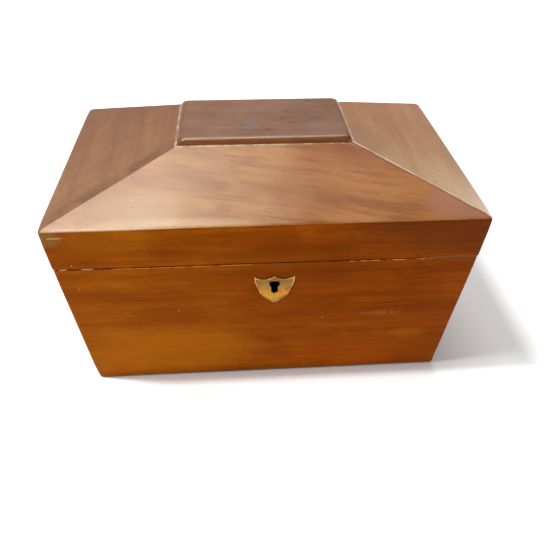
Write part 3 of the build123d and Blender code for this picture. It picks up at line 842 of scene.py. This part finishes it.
def wood(name, along, tones, seed, contrast=1.0, marks=(), rough=0.42, turn=(0, 0, 0),
         fade_span=(-RIM[0], RIM[0]), **uniform):
    """Waxed, worn wood along an axis, in the tones of one end of its fade and of the other."""
    paint = Paint(name)
    bands, streaks, pores, mottle = grain_lines(paint, along, turn, seed)
    tone = paint.total((bands, 0.40), (streaks, 0.32), (mottle, 0.28))
    tone = paint.between(tone, 0.5 - 0.17 / contrast, 0.5 + 0.17 / contrast)
    near, far = paint.tones(tone, tones[0]), paint.tones(tone, tones[-1])
    low, high = fade_span
    share = paint.math("ADD", paint.axis(along), paint.times(mottle, (high - low) * 0.16))
    share = paint.math("SUBTRACT", share, (high - low) * 0.08)
    colour = paint.mix(paint.between(share, low, high), near, far)
    pore_share = paint.between(pores, 0.46, 0.66, 0.0, 0.16)
    colour = paint.mix(pore_share, colour, PORE_TONE, "MULTIPLY")
    sheen = paint.noise(paint.scaled((22, 22, 22), shift=(seed, 1, 2)), 1.0, 4.0, 0.6)
    gloss = paint.total((sheen, 0.7), (streaks, 0.3))
    gloss = paint.between(gloss, 0.3, 0.7, rough - 0.07, rough + 0.09)
    normal = paint.bump(paint.total((streaks, 0.6), (pores, -0.5)), 0.35, 0.00012)
    return paint.finish(colour, gloss, normal, marks, **uniform)


def mark(share, colour, strength):
    """A function that lays a colour over a material's, by a share it makes with the paint."""
    def lay(paint, under):
        return paint.mix(paint.times(share(paint), strength), under, linear(colour))
    return lay


def colour_patch(centre, reach, colour, strength, uneven=0.35):
    """Mark: a ragged patch of another colour at a place."""
    return mark(lambda paint: paint.near(centre, reach, uneven), colour, strength)


def colour_patches(places):
    """Patches of colour, stains and painted light alike, from rows of place and reach in millimetres, colour,
    strength and raggedness.
    """
    return [colour_patch(tuple(v * MM for v in at), tuple(v * MM for v in reach), *look)
            for at, reach, *look in places]


def specks(colour, scale, size, share_of_cells, strength, stretch=(1, 1, 1)):
    """Mark: scattered small flecks."""
    def share(paint):
        away, cell = paint.cells(paint.scaled(stretch), scale)
        luck = paint.add("ShaderNodeSeparateColor", {0: cell}).outputs[0]
        chosen = paint.between(luck, 1 - share_of_cells, 1 - share_of_cells + 0.001)
        return paint.times(chosen, paint.between(away, size * 0.6, size, 1.0, 0.0))
    return mark(share, colour, strength)


def scratches(colour, turn, strength, seed):
    """Mark: faint pale scuffs across the grain."""
    def share(paint):
        lines = paint.scaled((16, 420, 420), turn=turn, shift=(seed, seed, 0))
        lines = paint.between(paint.noise(lines, 1.0, 2.0, 0.5), 0.66, 0.74)
        here = paint.noise(paint.scaled((30, 30, 30), shift=(seed, 0, seed)), 1.0, 2.0)
        return paint.times(lines, paint.between(here, 0.5, 0.62))
    return mark(share, colour, strength)


def plane_line(normal, at, reach, colour, strength, scale=260.0):
    """Mark: a broken line of another colour where the surface meets a plane."""
    def share(paint):
        inputs = {0: paint.place, 1: normal}
        dot = paint.add("ShaderNodeVectorMath", inputs, operation="DOT_PRODUCT").outputs["Value"]
        broken = paint.between(paint.noise(paint.even(scale), 1.0, 3.0), 0.42, 0.58, 0.25, 1.0)
        return paint.times(paint.line(dot, at, reach), broken)
    return mark(share, colour, strength)


def broken_line(at, reach, start, end, colour, strength, gaps):
    """Mark: a thin level line at a height, from start to end, with gaps in it."""
    def share(paint):
        dashes = paint.noise(paint.scaled((110, 0, 0), shift=(at * 900, 0, 0)), 1.0, 3.0)
        dashes = paint.between(dashes, gaps - 0.03, gaps + 0.03)
        window = paint.times(paint.between(paint.axis("X"), start, start + 5 * MM),
                             paint.between(paint.axis("X"), end - 5 * MM, end, 1.0, 0.0))
        return paint.times(paint.times(paint.line(paint.axis("Z"), at, reach), dashes), window)
    return mark(share, colour, strength)


def brass(name, tones, rough, marks=()):
    """Aged brass with brown and green patches."""
    paint = Paint(name)
    patches = paint.noise(paint.even(170), 1.0, 4.0, 0.6, 0.4)
    fine = paint.noise(paint.even(900), 1.0, 3.0)
    tone = paint.total((patches, 0.75), (fine, 0.25))
    colour = paint.tones(paint.between(tone, 0.33, 0.67), tones, (0.0, 0.4, 0.7, 1.0))
    gloss = paint.between(fine, 0.3, 0.7, rough - 0.08, rough + 0.1)
    return paint.finish(colour, gloss, paint.bump(tone, 0.3, 0.0001), marks, metallic=0.85)


def shield_brass(name):
    """Face of the shield: brown at the top, golden below, with orange and green tarnish."""
    paint = Paint(name)
    patches = paint.noise(paint.even(190), 1.0, 4.0, 0.6, 0.5)
    fine = paint.noise(paint.even(1100), 1.0, 3.0)
    height = paint.math("ADD", paint.axis("Z"), paint.times(patches, 9 * MM))
    share = paint.between(height, SHIELD_LO.z + 5 * MM, SHIELD_HI.z + 3 * MM)
    colour = paint.tones(share, ((206, 154, 44), (178, 130, 48), (126, 92, 46)), (0.0, 0.45, 1.0))
    tarnish = paint.between(patches, 0.52, 0.68, 0.0, 0.6)
    colour = paint.mix(tarnish, colour, linear((98, 84, 46)))
    spot = (SHIELD_X + 6 * MM, SHIELD_LO.y, SHIELD_LO.z + 9 * MM)
    glow = colour_patch(spot, (5 * MM, 9 * MM, 4 * MM), (214, 118, 40), 0.6)
    gloss = paint.between(fine, 0.3, 0.7, 0.36, 0.52)
    return paint.finish(colour, gloss, paint.bump(patches, 0.35, 0.0002), [glow], metallic=0.8)


def cloth(name, tones, weave, rough=0.95, fuzz=0.6):
    """Woven or napped cloth."""
    paint = Paint(name)
    threads = paint.noise(paint.even(weave), 1.0, 2.0)
    tone = paint.total((paint.noise(paint.even(60), 1.0, 3.0), 0.5), (threads, 0.5))
    colour = paint.tones(paint.between(tone, 0.3, 0.7), tones)
    return paint.finish(colour, rough, paint.bump(threads, 0.6, 0.0002), sheen_weight=fuzz)


def metal(name, tones, rough, marks=()):
    """Filed steel or tin with streaky wear."""
    paint = Paint(name)
    streak = paint.noise(paint.scaled((120, 900, 900)), 1.0, 3.0)
    tone = paint.total((paint.noise(paint.even(130), 1.0, 3.0), 0.6), (streak, 0.4))
    colour = paint.tones(paint.between(tone, 0.32, 0.68), tones)
    gloss = paint.between(tone, 0.3, 0.7, rough - 0.1, rough + 0.12)
    return paint.finish(colour, gloss, paint.bump(streak, 0.25, 0.0001), marks, metallic=1.0)


def glass(name):
    """Clear cut glass with faint ripples and bloom."""
    paint = Paint(name)
    ripple = paint.bump(paint.noise(paint.even(90), 1.0, 2.0), 0.15, 0.0005)
    bloom = paint.noise(paint.even(40), 1.0, 4.0)
    colour = paint.ramp(bloom, [(0.0, (0.88, 0.95, 0.92, 1)), (1.0, (0.97, 0.99, 0.98, 1))])
    rough = paint.between(bloom, 0.35, 0.75, 0.02, 0.12)
    return paint.finish(colour, rough, ripple, transmission_weight=0.97, ior=1.5)


# Tones of the woods, dark to light, at one end of their fade and, if it differs, at the other
TONES = {
    "front": (((114, 51, 3), (131, 64, 4), (148, 81, 7)),
              ((103, 42, 2), (121, 54, 3), (137, 67, 6))),
    # The front slope's lighter left end is partly the wood's tone, partly painted sheen.
    "slope_front": (((136, 88, 38), (152, 103, 50), (168, 120, 66)),
                    ((114, 64, 25), (130, 78, 34), (144, 92, 46))),
    "slope_left": (((116, 75, 42), (132, 89, 54), (146, 103, 67)),
                   ((98, 50, 16), (112, 63, 24), (126, 76, 34))),
    # The right slope's paler front end is partly the wood's tone, partly painted sheen.
    "slope_right": (((141, 108, 69), (154, 123, 82), (166, 137, 98)),
                    ((124, 74, 30), (137, 86, 38), (150, 100, 52))),
    "tablet": (((92, 50, 17), (106, 63, 24), (119, 76, 34)),
               ((85, 43, 9), (97, 55, 15), (109, 68, 24))),
    "tablet_edge": (((90, 43, 20), (106, 57, 27), (128, 75, 37)),
                    ((80, 40, 13), (96, 52, 18), (118, 68, 24))),
    "end": (((104, 50, 10), (126, 64, 16), (144, 82, 26)),),
    "back": (((110, 54, 10), (132, 68, 14), (150, 84, 22)),),
    "carcass": (((110, 62, 34), (140, 86, 52), (165, 110, 72)),),
    "inner": (((70, 32, 16), (98, 48, 24), (124, 66, 36)),),
    "bone": (((196, 176, 136), (222, 206, 170), (236, 224, 196)),),
}

# The front's plane at the rim, the rim, the joint and the tablet's top, in millimetres
FRONT_MM = -97.5
RIM_MM = 151
JOINT_MM = JOINT_Z / MM
TABLET_MM = TABLET_HI.z / MM

# Patches of the front: place and reach, across and up, in millimetres, then the look. The first, lighter and
# yellower low on the left, is painted bounce light from the floor.
FRONT_STAINS_AND_BOUNCE_LIGHT = (
    (-80, 28, 95, 36, (168, 96, 10), 0.45),
    (62, 18, 70, 24, (150, 64, 2), 0.4),
    (20, JOINT_MM, 75, 26, (92, 38, 3), 0.45),
    (150, RIM_MM, 125, 42, (84, 38, 12), 0.7),
    (109, 40, 22, 8, (160, 88, 8), 0.32, 0.7),
    (84, 64, 22, 3, (164, 96, 44), 0.28, 0.9),
    (91, 64, 1.6, 1.6, (64, 28, 10), 0.8, 0.3),
)
BAND_STAINS = (
    (-108, RIM_MM - 9, 44, 15, (166, 98, 12), 0.26),
    (-145, RIM_MM - 6, 12, 9, (122, 98, 52), 0.5),
)
# Lines along the joint: drop, reach, start and end in millimetres, colour, strength, gaps
JOINT_LINES = (
    (0.0, 1.0, -150, -104, (44, 22, 12), 0.9, 0.25),
    (0.3, 0.5, -150, -114, (206, 182, 154), 0.8, 0.52),
    # The two pale lines 0.9 mm below the joint are painted highlights on the case's eased top edge.
    (0.9, 0.5, -110, -10, (196, 128, 62), 0.5, 0.45),
    (0.9, 0.5, 50, 116, (204, 150, 100), 0.6, 0.50),
    (0.0, 0.9, 106, 150, (134, 110, 78), 0.6, 0.35),
)
# Patches on the front slope: place, reach, colour, strength. The first two, pale at its lower left and along its
# rim, are painted sheen; the others darken its middle and tint it mauve by the right mitre.
SLOPE_STAINS_AND_SHEEN = (
    ((-82, -82, 157), (54, 24, 14), (152, 112, 62), 0.55),
    ((-64, FRONT_MM, RIM_MM), (80, 12, 6), (172, 138, 94), 0.62),
    ((52, -46, 174), (52, 20, 12), (122, 64, 18), 0.5),
    ((24, -72, 162), (36, 30, 18), (124, 68, 22), 0.45),
    ((134, FRONT_MM + 14, RIM_MM + 5), (40, 24, 12), (142, 100, 88), 0.5),
)
SLOPE_KNOTS = ((-32, -68), (-30, -84), (-12, -50))
TABLET_STAINS = (
    ((-9, -16, TABLET_MM), (9, 8, 9), (86, 78, 78), 0.6, 0.8),
    ((28, 25, TABLET_MM), (9, 4, 9), (82, 54, 60), 0.5, 0.8),
)
TABLET_DENTS = ((18, 10), (15, -3), (20, -11), (39, -3), (2, -22), (37, 29), (-38, 4))


def front_patches(rows):
    """Patches on the front, stains and painted light alike, at its plane by the rim and deep enough to follow its
    lean.
    """
    return colour_patches([((x, FRONT_MM, z), (across, 40, tall), *look)
                   for x, z, across, tall, *look in rows])


def front_marks():
    """Marks of the whole front: light and dark areas, among them painted bounce light low on the left, specks, the
    dark joint with pale lines of painted highlight below it, and the shield's painted shade.
    """
    joint = (JOINT_Z + LID_Z) / 2
    lines = [broken_line(joint - drop * MM, *(v * MM for v in (reach, start, end)), *look)
             for drop, reach, start, end, *look in JOINT_LINES]
    shade_mark = (SHIELD_X / MM, SHIELD_HI.z / MM - 13, 21, 19, (84, 34, 4), 0.35)
    return [*front_patches(FRONT_STAINS_AND_BOUNCE_LIGHT), specks((232, 205, 170), 150.0, 0.06, 0.06, 0.85),
            plane_line((0, 0, 1), joint, 0.65 * MM, (52, 16, 4), 0.8), *lines,
            *front_patches([shade_mark])]


def band_marks():
    """More marks on the lid's band, mostly by its left corner: wear, and a painted highlight along its top edge.
    """
    line = broken_line(RIM_Z - 5.6 * MM, 0.5 * MM, -154 * MM, -124 * MM,
                       (188, 160, 122), 0.75, 0.50)
    # Painted highlight along the band's top edge, brightest at the left.
    rim = (-130, RIM_MM, 90, 1.1, (230, 200, 170), 0.35, 0.5)
    return [*front_patches(BAND_STAINS), line, *front_patches([rim])]


def slope_marks():
    """Marks of each slope of the lid: knots, specks, scuffs and dust, with painted sheen, painted highlights and
    painted shade.
    """
    pale = specks((235, 215, 190), 150.0, 0.055, 0.05, 0.9)
    dark = specks((112, 66, 40), 60.0, 0.10, 0.06, 0.5, (0.6, 1, 1))
    scuffs = scratches((215, 180, 150), (0, 0, 0.5), 0.35, 3.0)
    dust = plane_line((0, 0, 1), ROOF_Z, 0.7 * MM, (178, 168, 142), 0.75)
    # Along the right front mitre: a pale line that is a painted highlight on its raised veneer edge, and below it
    # on the front slope a dark line of painted shadow.
    hip_highlight = plane_line(tuple(HIP_WAY), HIP_AT, 3.4 * MM, (200, 174, 160), 0.7, 60.0)
    hip_shade = plane_line(tuple(HIP_WAY), HIP_AT, 1.1 * MM, (92, 50, 36), 0.55, 60.0)
    left_way = (-HIP_WAY[0], HIP_WAY[1], 0)
    # Painted shade along the left front mitre.
    left_shade = plane_line(left_way, HIP_AT, 16 * MM, (70, 34, 14), 0.5, 60.0)
    knots = [((x, y, RIM_MM + (y - FRONT_MM) * 0.46), (7, 5, 5), (122, 72, 50), 0.5, 0.8)
             for x, y in SLOPE_KNOTS]
    # The first is a painted highlight along the front rim's rounded edge, brightest at the left; the second is
    # painted shade on the right slope beside the tablet.
    rim_highlight, inner_shade = colour_patches((
        ((-130, FRONT_MM, RIM_MM), (110, 1.8, 4), (240, 222, 200), 0.4, 0.5),
        ((72, -24, 175), (24, 34, 16), (112, 70, 42), 0.4),
    ))
    return {
        "front": [*colour_patches(SLOPE_STAINS_AND_SHEEN), *colour_patches(knots), pale, dark, dust, hip_shade, rim_highlight],
        "back": [pale, dust],
        "left": [left_shade, pale, scuffs, dust],
        "right": [inner_shade, pale, dust, hip_highlight],
    }


def tablet_marks():
    """Stains and dents in the tablet's top."""
    dents = [((x, y, TABLET_MM), (3.6, 2.2, 9), (62, 18, 4), 0.65, 0.9) for x, y in TABLET_DENTS]
    return colour_patches([*TABLET_STAINS, *dents])


def outer_materials():
    """Woods of the outer faces, by face."""
    pale = [specks((235, 215, 190), 150.0, 0.055, 0.05, 0.9)]
    front, slopes = front_marks(), slope_marks()
    dull = {"specular_ior_level": 0.06, "specular_tint": (1.0, 0.5, 0.2, 1.0), "ior": 1.3}
    ends = {"marks": pale, "contrast": 0.75, "specular_ior_level": 0.35}
    top = {"fade_span": (-FOOT[0], FOOT[0])}
    woods = {
        "front": wood("veneer_front", "X", TONES["front"], 1.0, 0.8, front, **dull),
        "band": wood("veneer_band", "X", TONES["front"], 1.0, 1.0, front + band_marks(), **dull),
        "back": wood("veneer_back", "X", TONES["back"], 9.0, **ends),
        "end": wood("veneer_ends", "Y", TONES["end"], 2.0, **ends),
        "tablet": wood("tablet_wood", "X", TONES["tablet"], 8.0, 0.6, tablet_marks(), 0.32, **top),
        "tablet_edge": wood("tablet_edge_wood", "X", TONES["tablet_edge"], 8.0, rough=0.4,
                            specular_ior_level=0.2, **top),
    }
    back_tones = TONES["slope_front"][1:]
    for side, along, tones, seed, contrast, more in (
        ("front", "X", TONES["slope_front"], 4.0, 1.6, {"turn": (0, 0, 0.2)}),
        ("back", "X", back_tones, 5.0, 1.0, {}),
        ("left", "Y", TONES["slope_left"], 6.0, 0.7, {"fade_span": (-RIM[1], RIM[1])}),
        ("right", "Y", TONES["slope_right"], 7.0, 0.7, {"fade_span": (-RIM[1], 0.3 * RIM[1])}),
    ):
        woods[f"slope_{side}"] = wood(f"veneer_slope_{side}", along, tones, seed, contrast,
                                      slopes[side], 0.32, **more)
    return woods


# ---- CAD pieces that keep their shape ----

def ease_edges(piece):
    """Softens a CAD piece's edges without touching its mesh."""
    join = piece.modifiers.new("join", "WELD")
    join.merge_threshold = 0.01 * MM
    ease = piece.modifiers.new("ease", "BEVEL")
    ease.width = 0.3 * MM
    ease.segments = 2
    ease.limit_method = "ANGLE"
    ease.angle_limit = math.radians(35)


def cad_materials():
    """Materials by material slot, with the ones seen through the keyhole, painted dark there as its shade, under
    their own names.
    """
    hole = on_face(0, -KEY_DOWN - 3 * MM, -6 * MM)
    # Painted shade in the keyhole: the hole's walls and the lock behind it are painted near black.
    keyhole_shade = [colour_patch(tuple(hole), (16 * MM, 20 * MM, 20 * MM), (6, 4, 3), 1.0, 0.1)]
    steel_tones = ((92, 86, 80), (156, 150, 142))
    brass_tones = ((122, 88, 40), (148, 108, 50), (174, 130, 64), (198, 158, 90))
    return {
        "carcass_wood": wood("carcass_wood", "X", TONES["carcass"], 11.0, rough=0.6),
        "holed_wood": wood("holed_wood", "X", TONES["carcass"], 11.0, 1.0, keyhole_shade, 0.6),
        "solid_wood": wood("inner_wood_long", "X", TONES["inner"], 12.0, rough=0.45),
        "cross_wood": wood("inner_wood_cross", "Y", TONES["inner"], 13.0, rough=0.45),
        "lining": cloth("lining_paper", ((96, 22, 26), (134, 40, 40)), 1500.0, 0.8, 0.1),
        "steel": metal("filed_steel", steel_tones, 0.38),
        "lock_steel": metal("lock_steel", steel_tones, 0.38, keyhole_shade),
        "foil": metal("tin_foil", ((118, 116, 112), (172, 170, 164)), 0.42),
        "brass": brass("hinge_brass", brass_tones, 0.36),
        "lock_brass": brass("lock_brass", brass_tones, 0.36, keyhole_shade),
        "bone": wood("bone", "Z", TONES["bone"], 15.0, rough=0.35),
    }


def dress_cad():
    """Materials of the CAD pieces that stay, and the boards cut back under worn corners."""
    materials = cad_materials()
    for part in frame["record"]["subparts"]:
        node, slot = part["node"], part["material_slot"]
        if node in REBUILT:
            continue
        kind = slot
        if node.startswith("divider") or node.endswith("_lid"):
            kind = "cross_wood"
        if node.startswith("lock"):
            kind = f"lock_{slot}"
        piece = frame["nodes"][node]
        piece.data.materials.clear()
        piece.data.materials.append(materials[kind])
        # The canister walls stay sharp: they are four boards in one mesh, and would be joined
        wooden = slot in ("carcass_wood", "solid_wood") and not node.endswith("_walls")
        if wooden or node == "lid_lining_panel":
            ease_edges(piece)
    low = np.arange(BASE_Z - 4 * MM, BASE_Z + 24 * MM, 2 * MM)
    rails = np.arange(RIM_Z - 24 * MM, RIM_Z, 2 * MM)
    slopes = np.arange(RIM_Z, RIM_Z + 9 * MM, 0.8 * MM)
    lid_heights = [LID_Z - 4 * MM, *rails, *slopes, ROOF_Z + 2 * MM]
    worn_boards(BODY_BOARDS, "case", [*low, JOINT_Z + 3 * MM], materials)
    worn_boards(LID_BOARDS, "lid", lid_heights, materials)


# ---- Bowl ----

BOWL_LO, BOWL_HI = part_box("mixing_bowl")
BOWL_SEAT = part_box("bowl_well_board")[1].z
BOWL_WALL = 3 * MM
BOWL_FOOT_R = 21 * MM
BOWL_PLAY = 2.6 * MM
FLUTES = 20
FLUTE_CUT = 1.3 * MM
LIP_CUT = 0.25 * MM


def bowl_radius(share):
    """Outside radius of the bowl's wall, from its foot at 0 to its seat at 1."""
    full = (BOWL_HI.x - BOWL_LO.x) / 2 - BOWL_PLAY
    return BOWL_FOOT_R + (full - BOWL_FOOT_R) * math.sqrt(1 - (1 - share) ** 2)


def bowl_profile():
    """Radius, height and depth of cut round the bowl's section, from inside to outside."""
    shares = [i / 16 for i in range(17)]
    bottom, top, brim = BOWL_LO.z, BOWL_HI.z, (BOWL_HI.x - BOWL_LO.x) / 2
    heights = [bottom + s * (BOWL_SEAT - bottom) for s in shares]
    inside = [(bowl_radius(s) - BOWL_WALL, z + BOWL_WALL * (1 - s), 0.3 * MM * s)
              for s, z in zip(shares, heights)]
    bore = inside[-1][0]
    lip = [(bore, top - 1.2 * MM, 0.0), (bore + 0.4 * MM, top - 0.4 * MM, 0.0),
           (bore + 1.2 * MM, top, 0.0), (brim - 1.6 * MM, top, LIP_CUT),
           (brim - 0.5 * MM, top - 0.5 * MM, LIP_CUT), (brim, top - 1.6 * MM, LIP_CUT),
           (brim, BOWL_SEAT, 0.0)]
    outside = [(bowl_radius(s), z, FLUTE_CUT * math.sin(math.pi * s) ** 0.5)
               for s, z in reversed(list(zip(shares, heights)))]
    foot = [(BOWL_FOOT_R - 1.5 * MM, bottom, 0.0), (BOWL_FOOT_R * 0.5, bottom + 0.8 * MM, 0.0)]
    return inside + lip + outside + foot


def bowl(material):
    """Cut glass bowl: flutes down its outside and a lightly scalloped lip."""
    middle = (BOWL_LO + BOWL_HI) / 2
    profile = bowl_profile()
    turns = FLUTES * 8
    vertices, faces = [], []
    for radius, height, cut in profile:
        for i in range(turns):
            turn = 2 * math.pi * i / turns
            reach = radius - cut * (1 - abs(math.sin(turn * FLUTES / 2)))
            vertices.append((middle.x + reach * math.cos(turn),
                             middle.y + reach * math.sin(turn), height))
    last = (len(profile) - 1) * turns
    after = [(i + 1) % turns for i in range(turns)]
    for start in range(0, last, turns):
        faces += [(start + a, start + a + turns, start + b + turns, start + b)
                  for a, b in enumerate(after)]
    faces += [(len(vertices), a, b) for a, b in enumerate(after)]
    faces += [(len(vertices) + 1, last + b, last + a) for a, b in enumerate(after)]
    vertices += [(middle.x, middle.y, profile[end][1]) for end in (0, -1)]
    piece = mesh_object("skin_mixing_bowl", vertices, faces, 50)
    settle_piece(piece, "case", material, "mixing_bowl")


# ---- Baize ----

FRAY = 0.4 * MM
DIP = 0.12 * MM


def baize(material):
    """Cloth glued under the base, with a slightly uneven cut edge."""
    lo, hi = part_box("baize_base")
    columns, rows = 70, 44
    top, under = [], []
    for t in np.linspace(0, 1, rows):
        for s in np.linspace(0, 1, columns):
            edge = min(s, 1 - s, t, 1 - t)
            x = lo.x + s * (hi.x - lo.x)
            y = lo.y + t * (hi.y - lo.y)
            fray = FRAY * noise.noise(Vector((x, y, 0)) * 300) if edge == 0 else 0
            dip = DIP * (1 + noise.noise(Vector((x, y, 0)) * 90)) if edge > 0.02 else 0
            top.append((x, y + fray, hi.z))
            under.append((x, y + fray, lo.z + dip))
    piece = closed_panel("skin_baize_base", np.array(top), np.array(under), columns, rows)
    settle_piece(piece, "case", material, "baize_base")


# ---- The whole caddy ----

REBUILT = {"tablet", "escutcheon", "baize_base", "mixing_bowl", *LID_BOARDS, *BODY_BOARDS}
REBUILT |= {f"{board}_veneer" for board in LID_BOARDS}
REBUILT |= {f"body_{side}_veneer" for side in SIDES}


def build():
    """Every rebuilt piece and every material."""
    woods = outer_materials()
    for side in SIDES:
        case_wood = woods.get(side, woods["end"])
        band_wood = woods["band"] if side == "front" else case_wood
        panel = wall_panel(f"body_{side}_veneer", side, BASE_Z, "joint", "case", case_wood)
        if side == "front":
            seat_shield(panel)
        wall_panel(f"lid_{side}_rail_veneer", side, "joint", RIM_Z, "lid", band_wood)
        slope_panel(side, woods[f"slope_{side}"])
    tablet(woods["tablet"], woods["tablet_edge"])
    bright = ((164, 108, 50), (190, 134, 68), (208, 158, 92), (226, 182, 122))
    shield_rim = brass("shield_rim", bright, 0.45)
    shield(shield_brass("shield_brass"), shield_rim)
    bowl(glass("bowl_glass"))
    baize(cloth("green_baize", ((14, 48, 30), (34, 82, 54)), 2600.0))
    dress_cad()


# ---- Stage, light and camera ----

def stage():
    """Pale floor under the caddy."""
    bpy.ops.mesh.primitive_plane_add(size=6.0, location=(0, 0, 0))
    floor = bpy.context.active_object
    floor.name = "floor"
    paint = Paint("floor_paper")
    tone = paint.noise(paint.even(3), 1.0, 2.0)
    colour = paint.ramp(tone, [(0.0, (0.90, 0.90, 0.90, 1)), (1.0, (0.93, 0.93, 0.93, 1))])
    floor.data.materials.append(paint.finish(colour, 0.9))
    return floor


def area_light(name, place, aim, size, power, glossy=True, only=None, never=None):
    """Soft light, so wide and so deep; it can lack a reflection, or reach or skip one object."""
    data = bpy.data.lights.new(name, "AREA")
    data.shape = "RECTANGLE"
    data.size, data.size_y = size
    data.energy = power
    lamp = add_object(name, data)
    lamp.location = place
    lamp.rotation_euler = (Vector(aim) - Vector(place)).to_track_quat("-Z", "Y").to_euler()
    lamp.visible_glossy = glossy
    if only or never:
        linked = bpy.data.collections.new(f"{name}_linked")
        linked.objects.link(only or never)
        linked.collection_objects[0].light_linking.link_state = "INCLUDE" if only else "EXCLUDE"
        lamp.light_linking.receiver_collection = linked


def sky():
    """Pale studio: brightest low down, softer overhead, dark below the floor."""
    world = bpy.data.worlds.new("studio")
    bpy.context.scene.world = world
    world.use_nodes = True
    nodes, links = world.node_tree.nodes, world.node_tree.links
    place = nodes.new("ShaderNodeTexCoord")
    split = nodes.new("ShaderNodeSeparateXYZ")
    ramp = nodes.new("ShaderNodeValToRGB")
    links.new(place.outputs["Generated"], split.inputs[0])
    links.new(split.outputs["Z"], ramp.inputs["Fac"])
    greys = ((0.0, 0.72), (0.35, 0.36), (1.0, 0.14))
    fill_ramp(ramp, [(at, (grey, grey, grey, 1)) for at, grey in greys])
    background = nodes["Background"]
    links.new(ramp.outputs["Color"], background.inputs["Color"])
    background.inputs["Strength"].default_value = 1.0


def camera():
    """Camera above and in front of the caddy, a little left of its middle."""
    data = bpy.data.cameras.new("camera")
    data.sensor_width = 36
    data.lens = 38.30
    piece = add_object("camera", data)
    piece.location = (-0.0230, -0.4142, 0.3628)
    piece.rotation_euler = tuple(math.radians(a) for a in (51.46, -0.70, -4.15))
    bpy.context.scene.camera = piece


camera()
table = stage()
sky()
area_light("key", (-1.15, -0.22, 2.40), (0, 0, 0.1), (0.58, 0.58), 40)
area_light("sheen", (-0.45, 0.20, 2.40), (0, 0, 0.1), (0.80, 0.80), 20, never=table)
area_light("fill", (-0.1, -1.7, 0.55), (0, 0, 0.05), (0.8, 0.8), 11, glossy=False, never=table)
area_light("window", (1.35, 0.95, 0.45), (0.1, 0, 0.15), (0.5, 0.5), 6, never=table)
area_light("table", (-1.15, -0.13, 2.40), (-1.15, -0.13, 0), (0.50, 0.12), 44, only=table)
area_light("backdrop", (0.1, 1.9, 2.4), (0.1, 1.7, 0), (1.4, 1.4), 60)
bpy.context.scene.view_settings.view_transform = "Standard"
build()
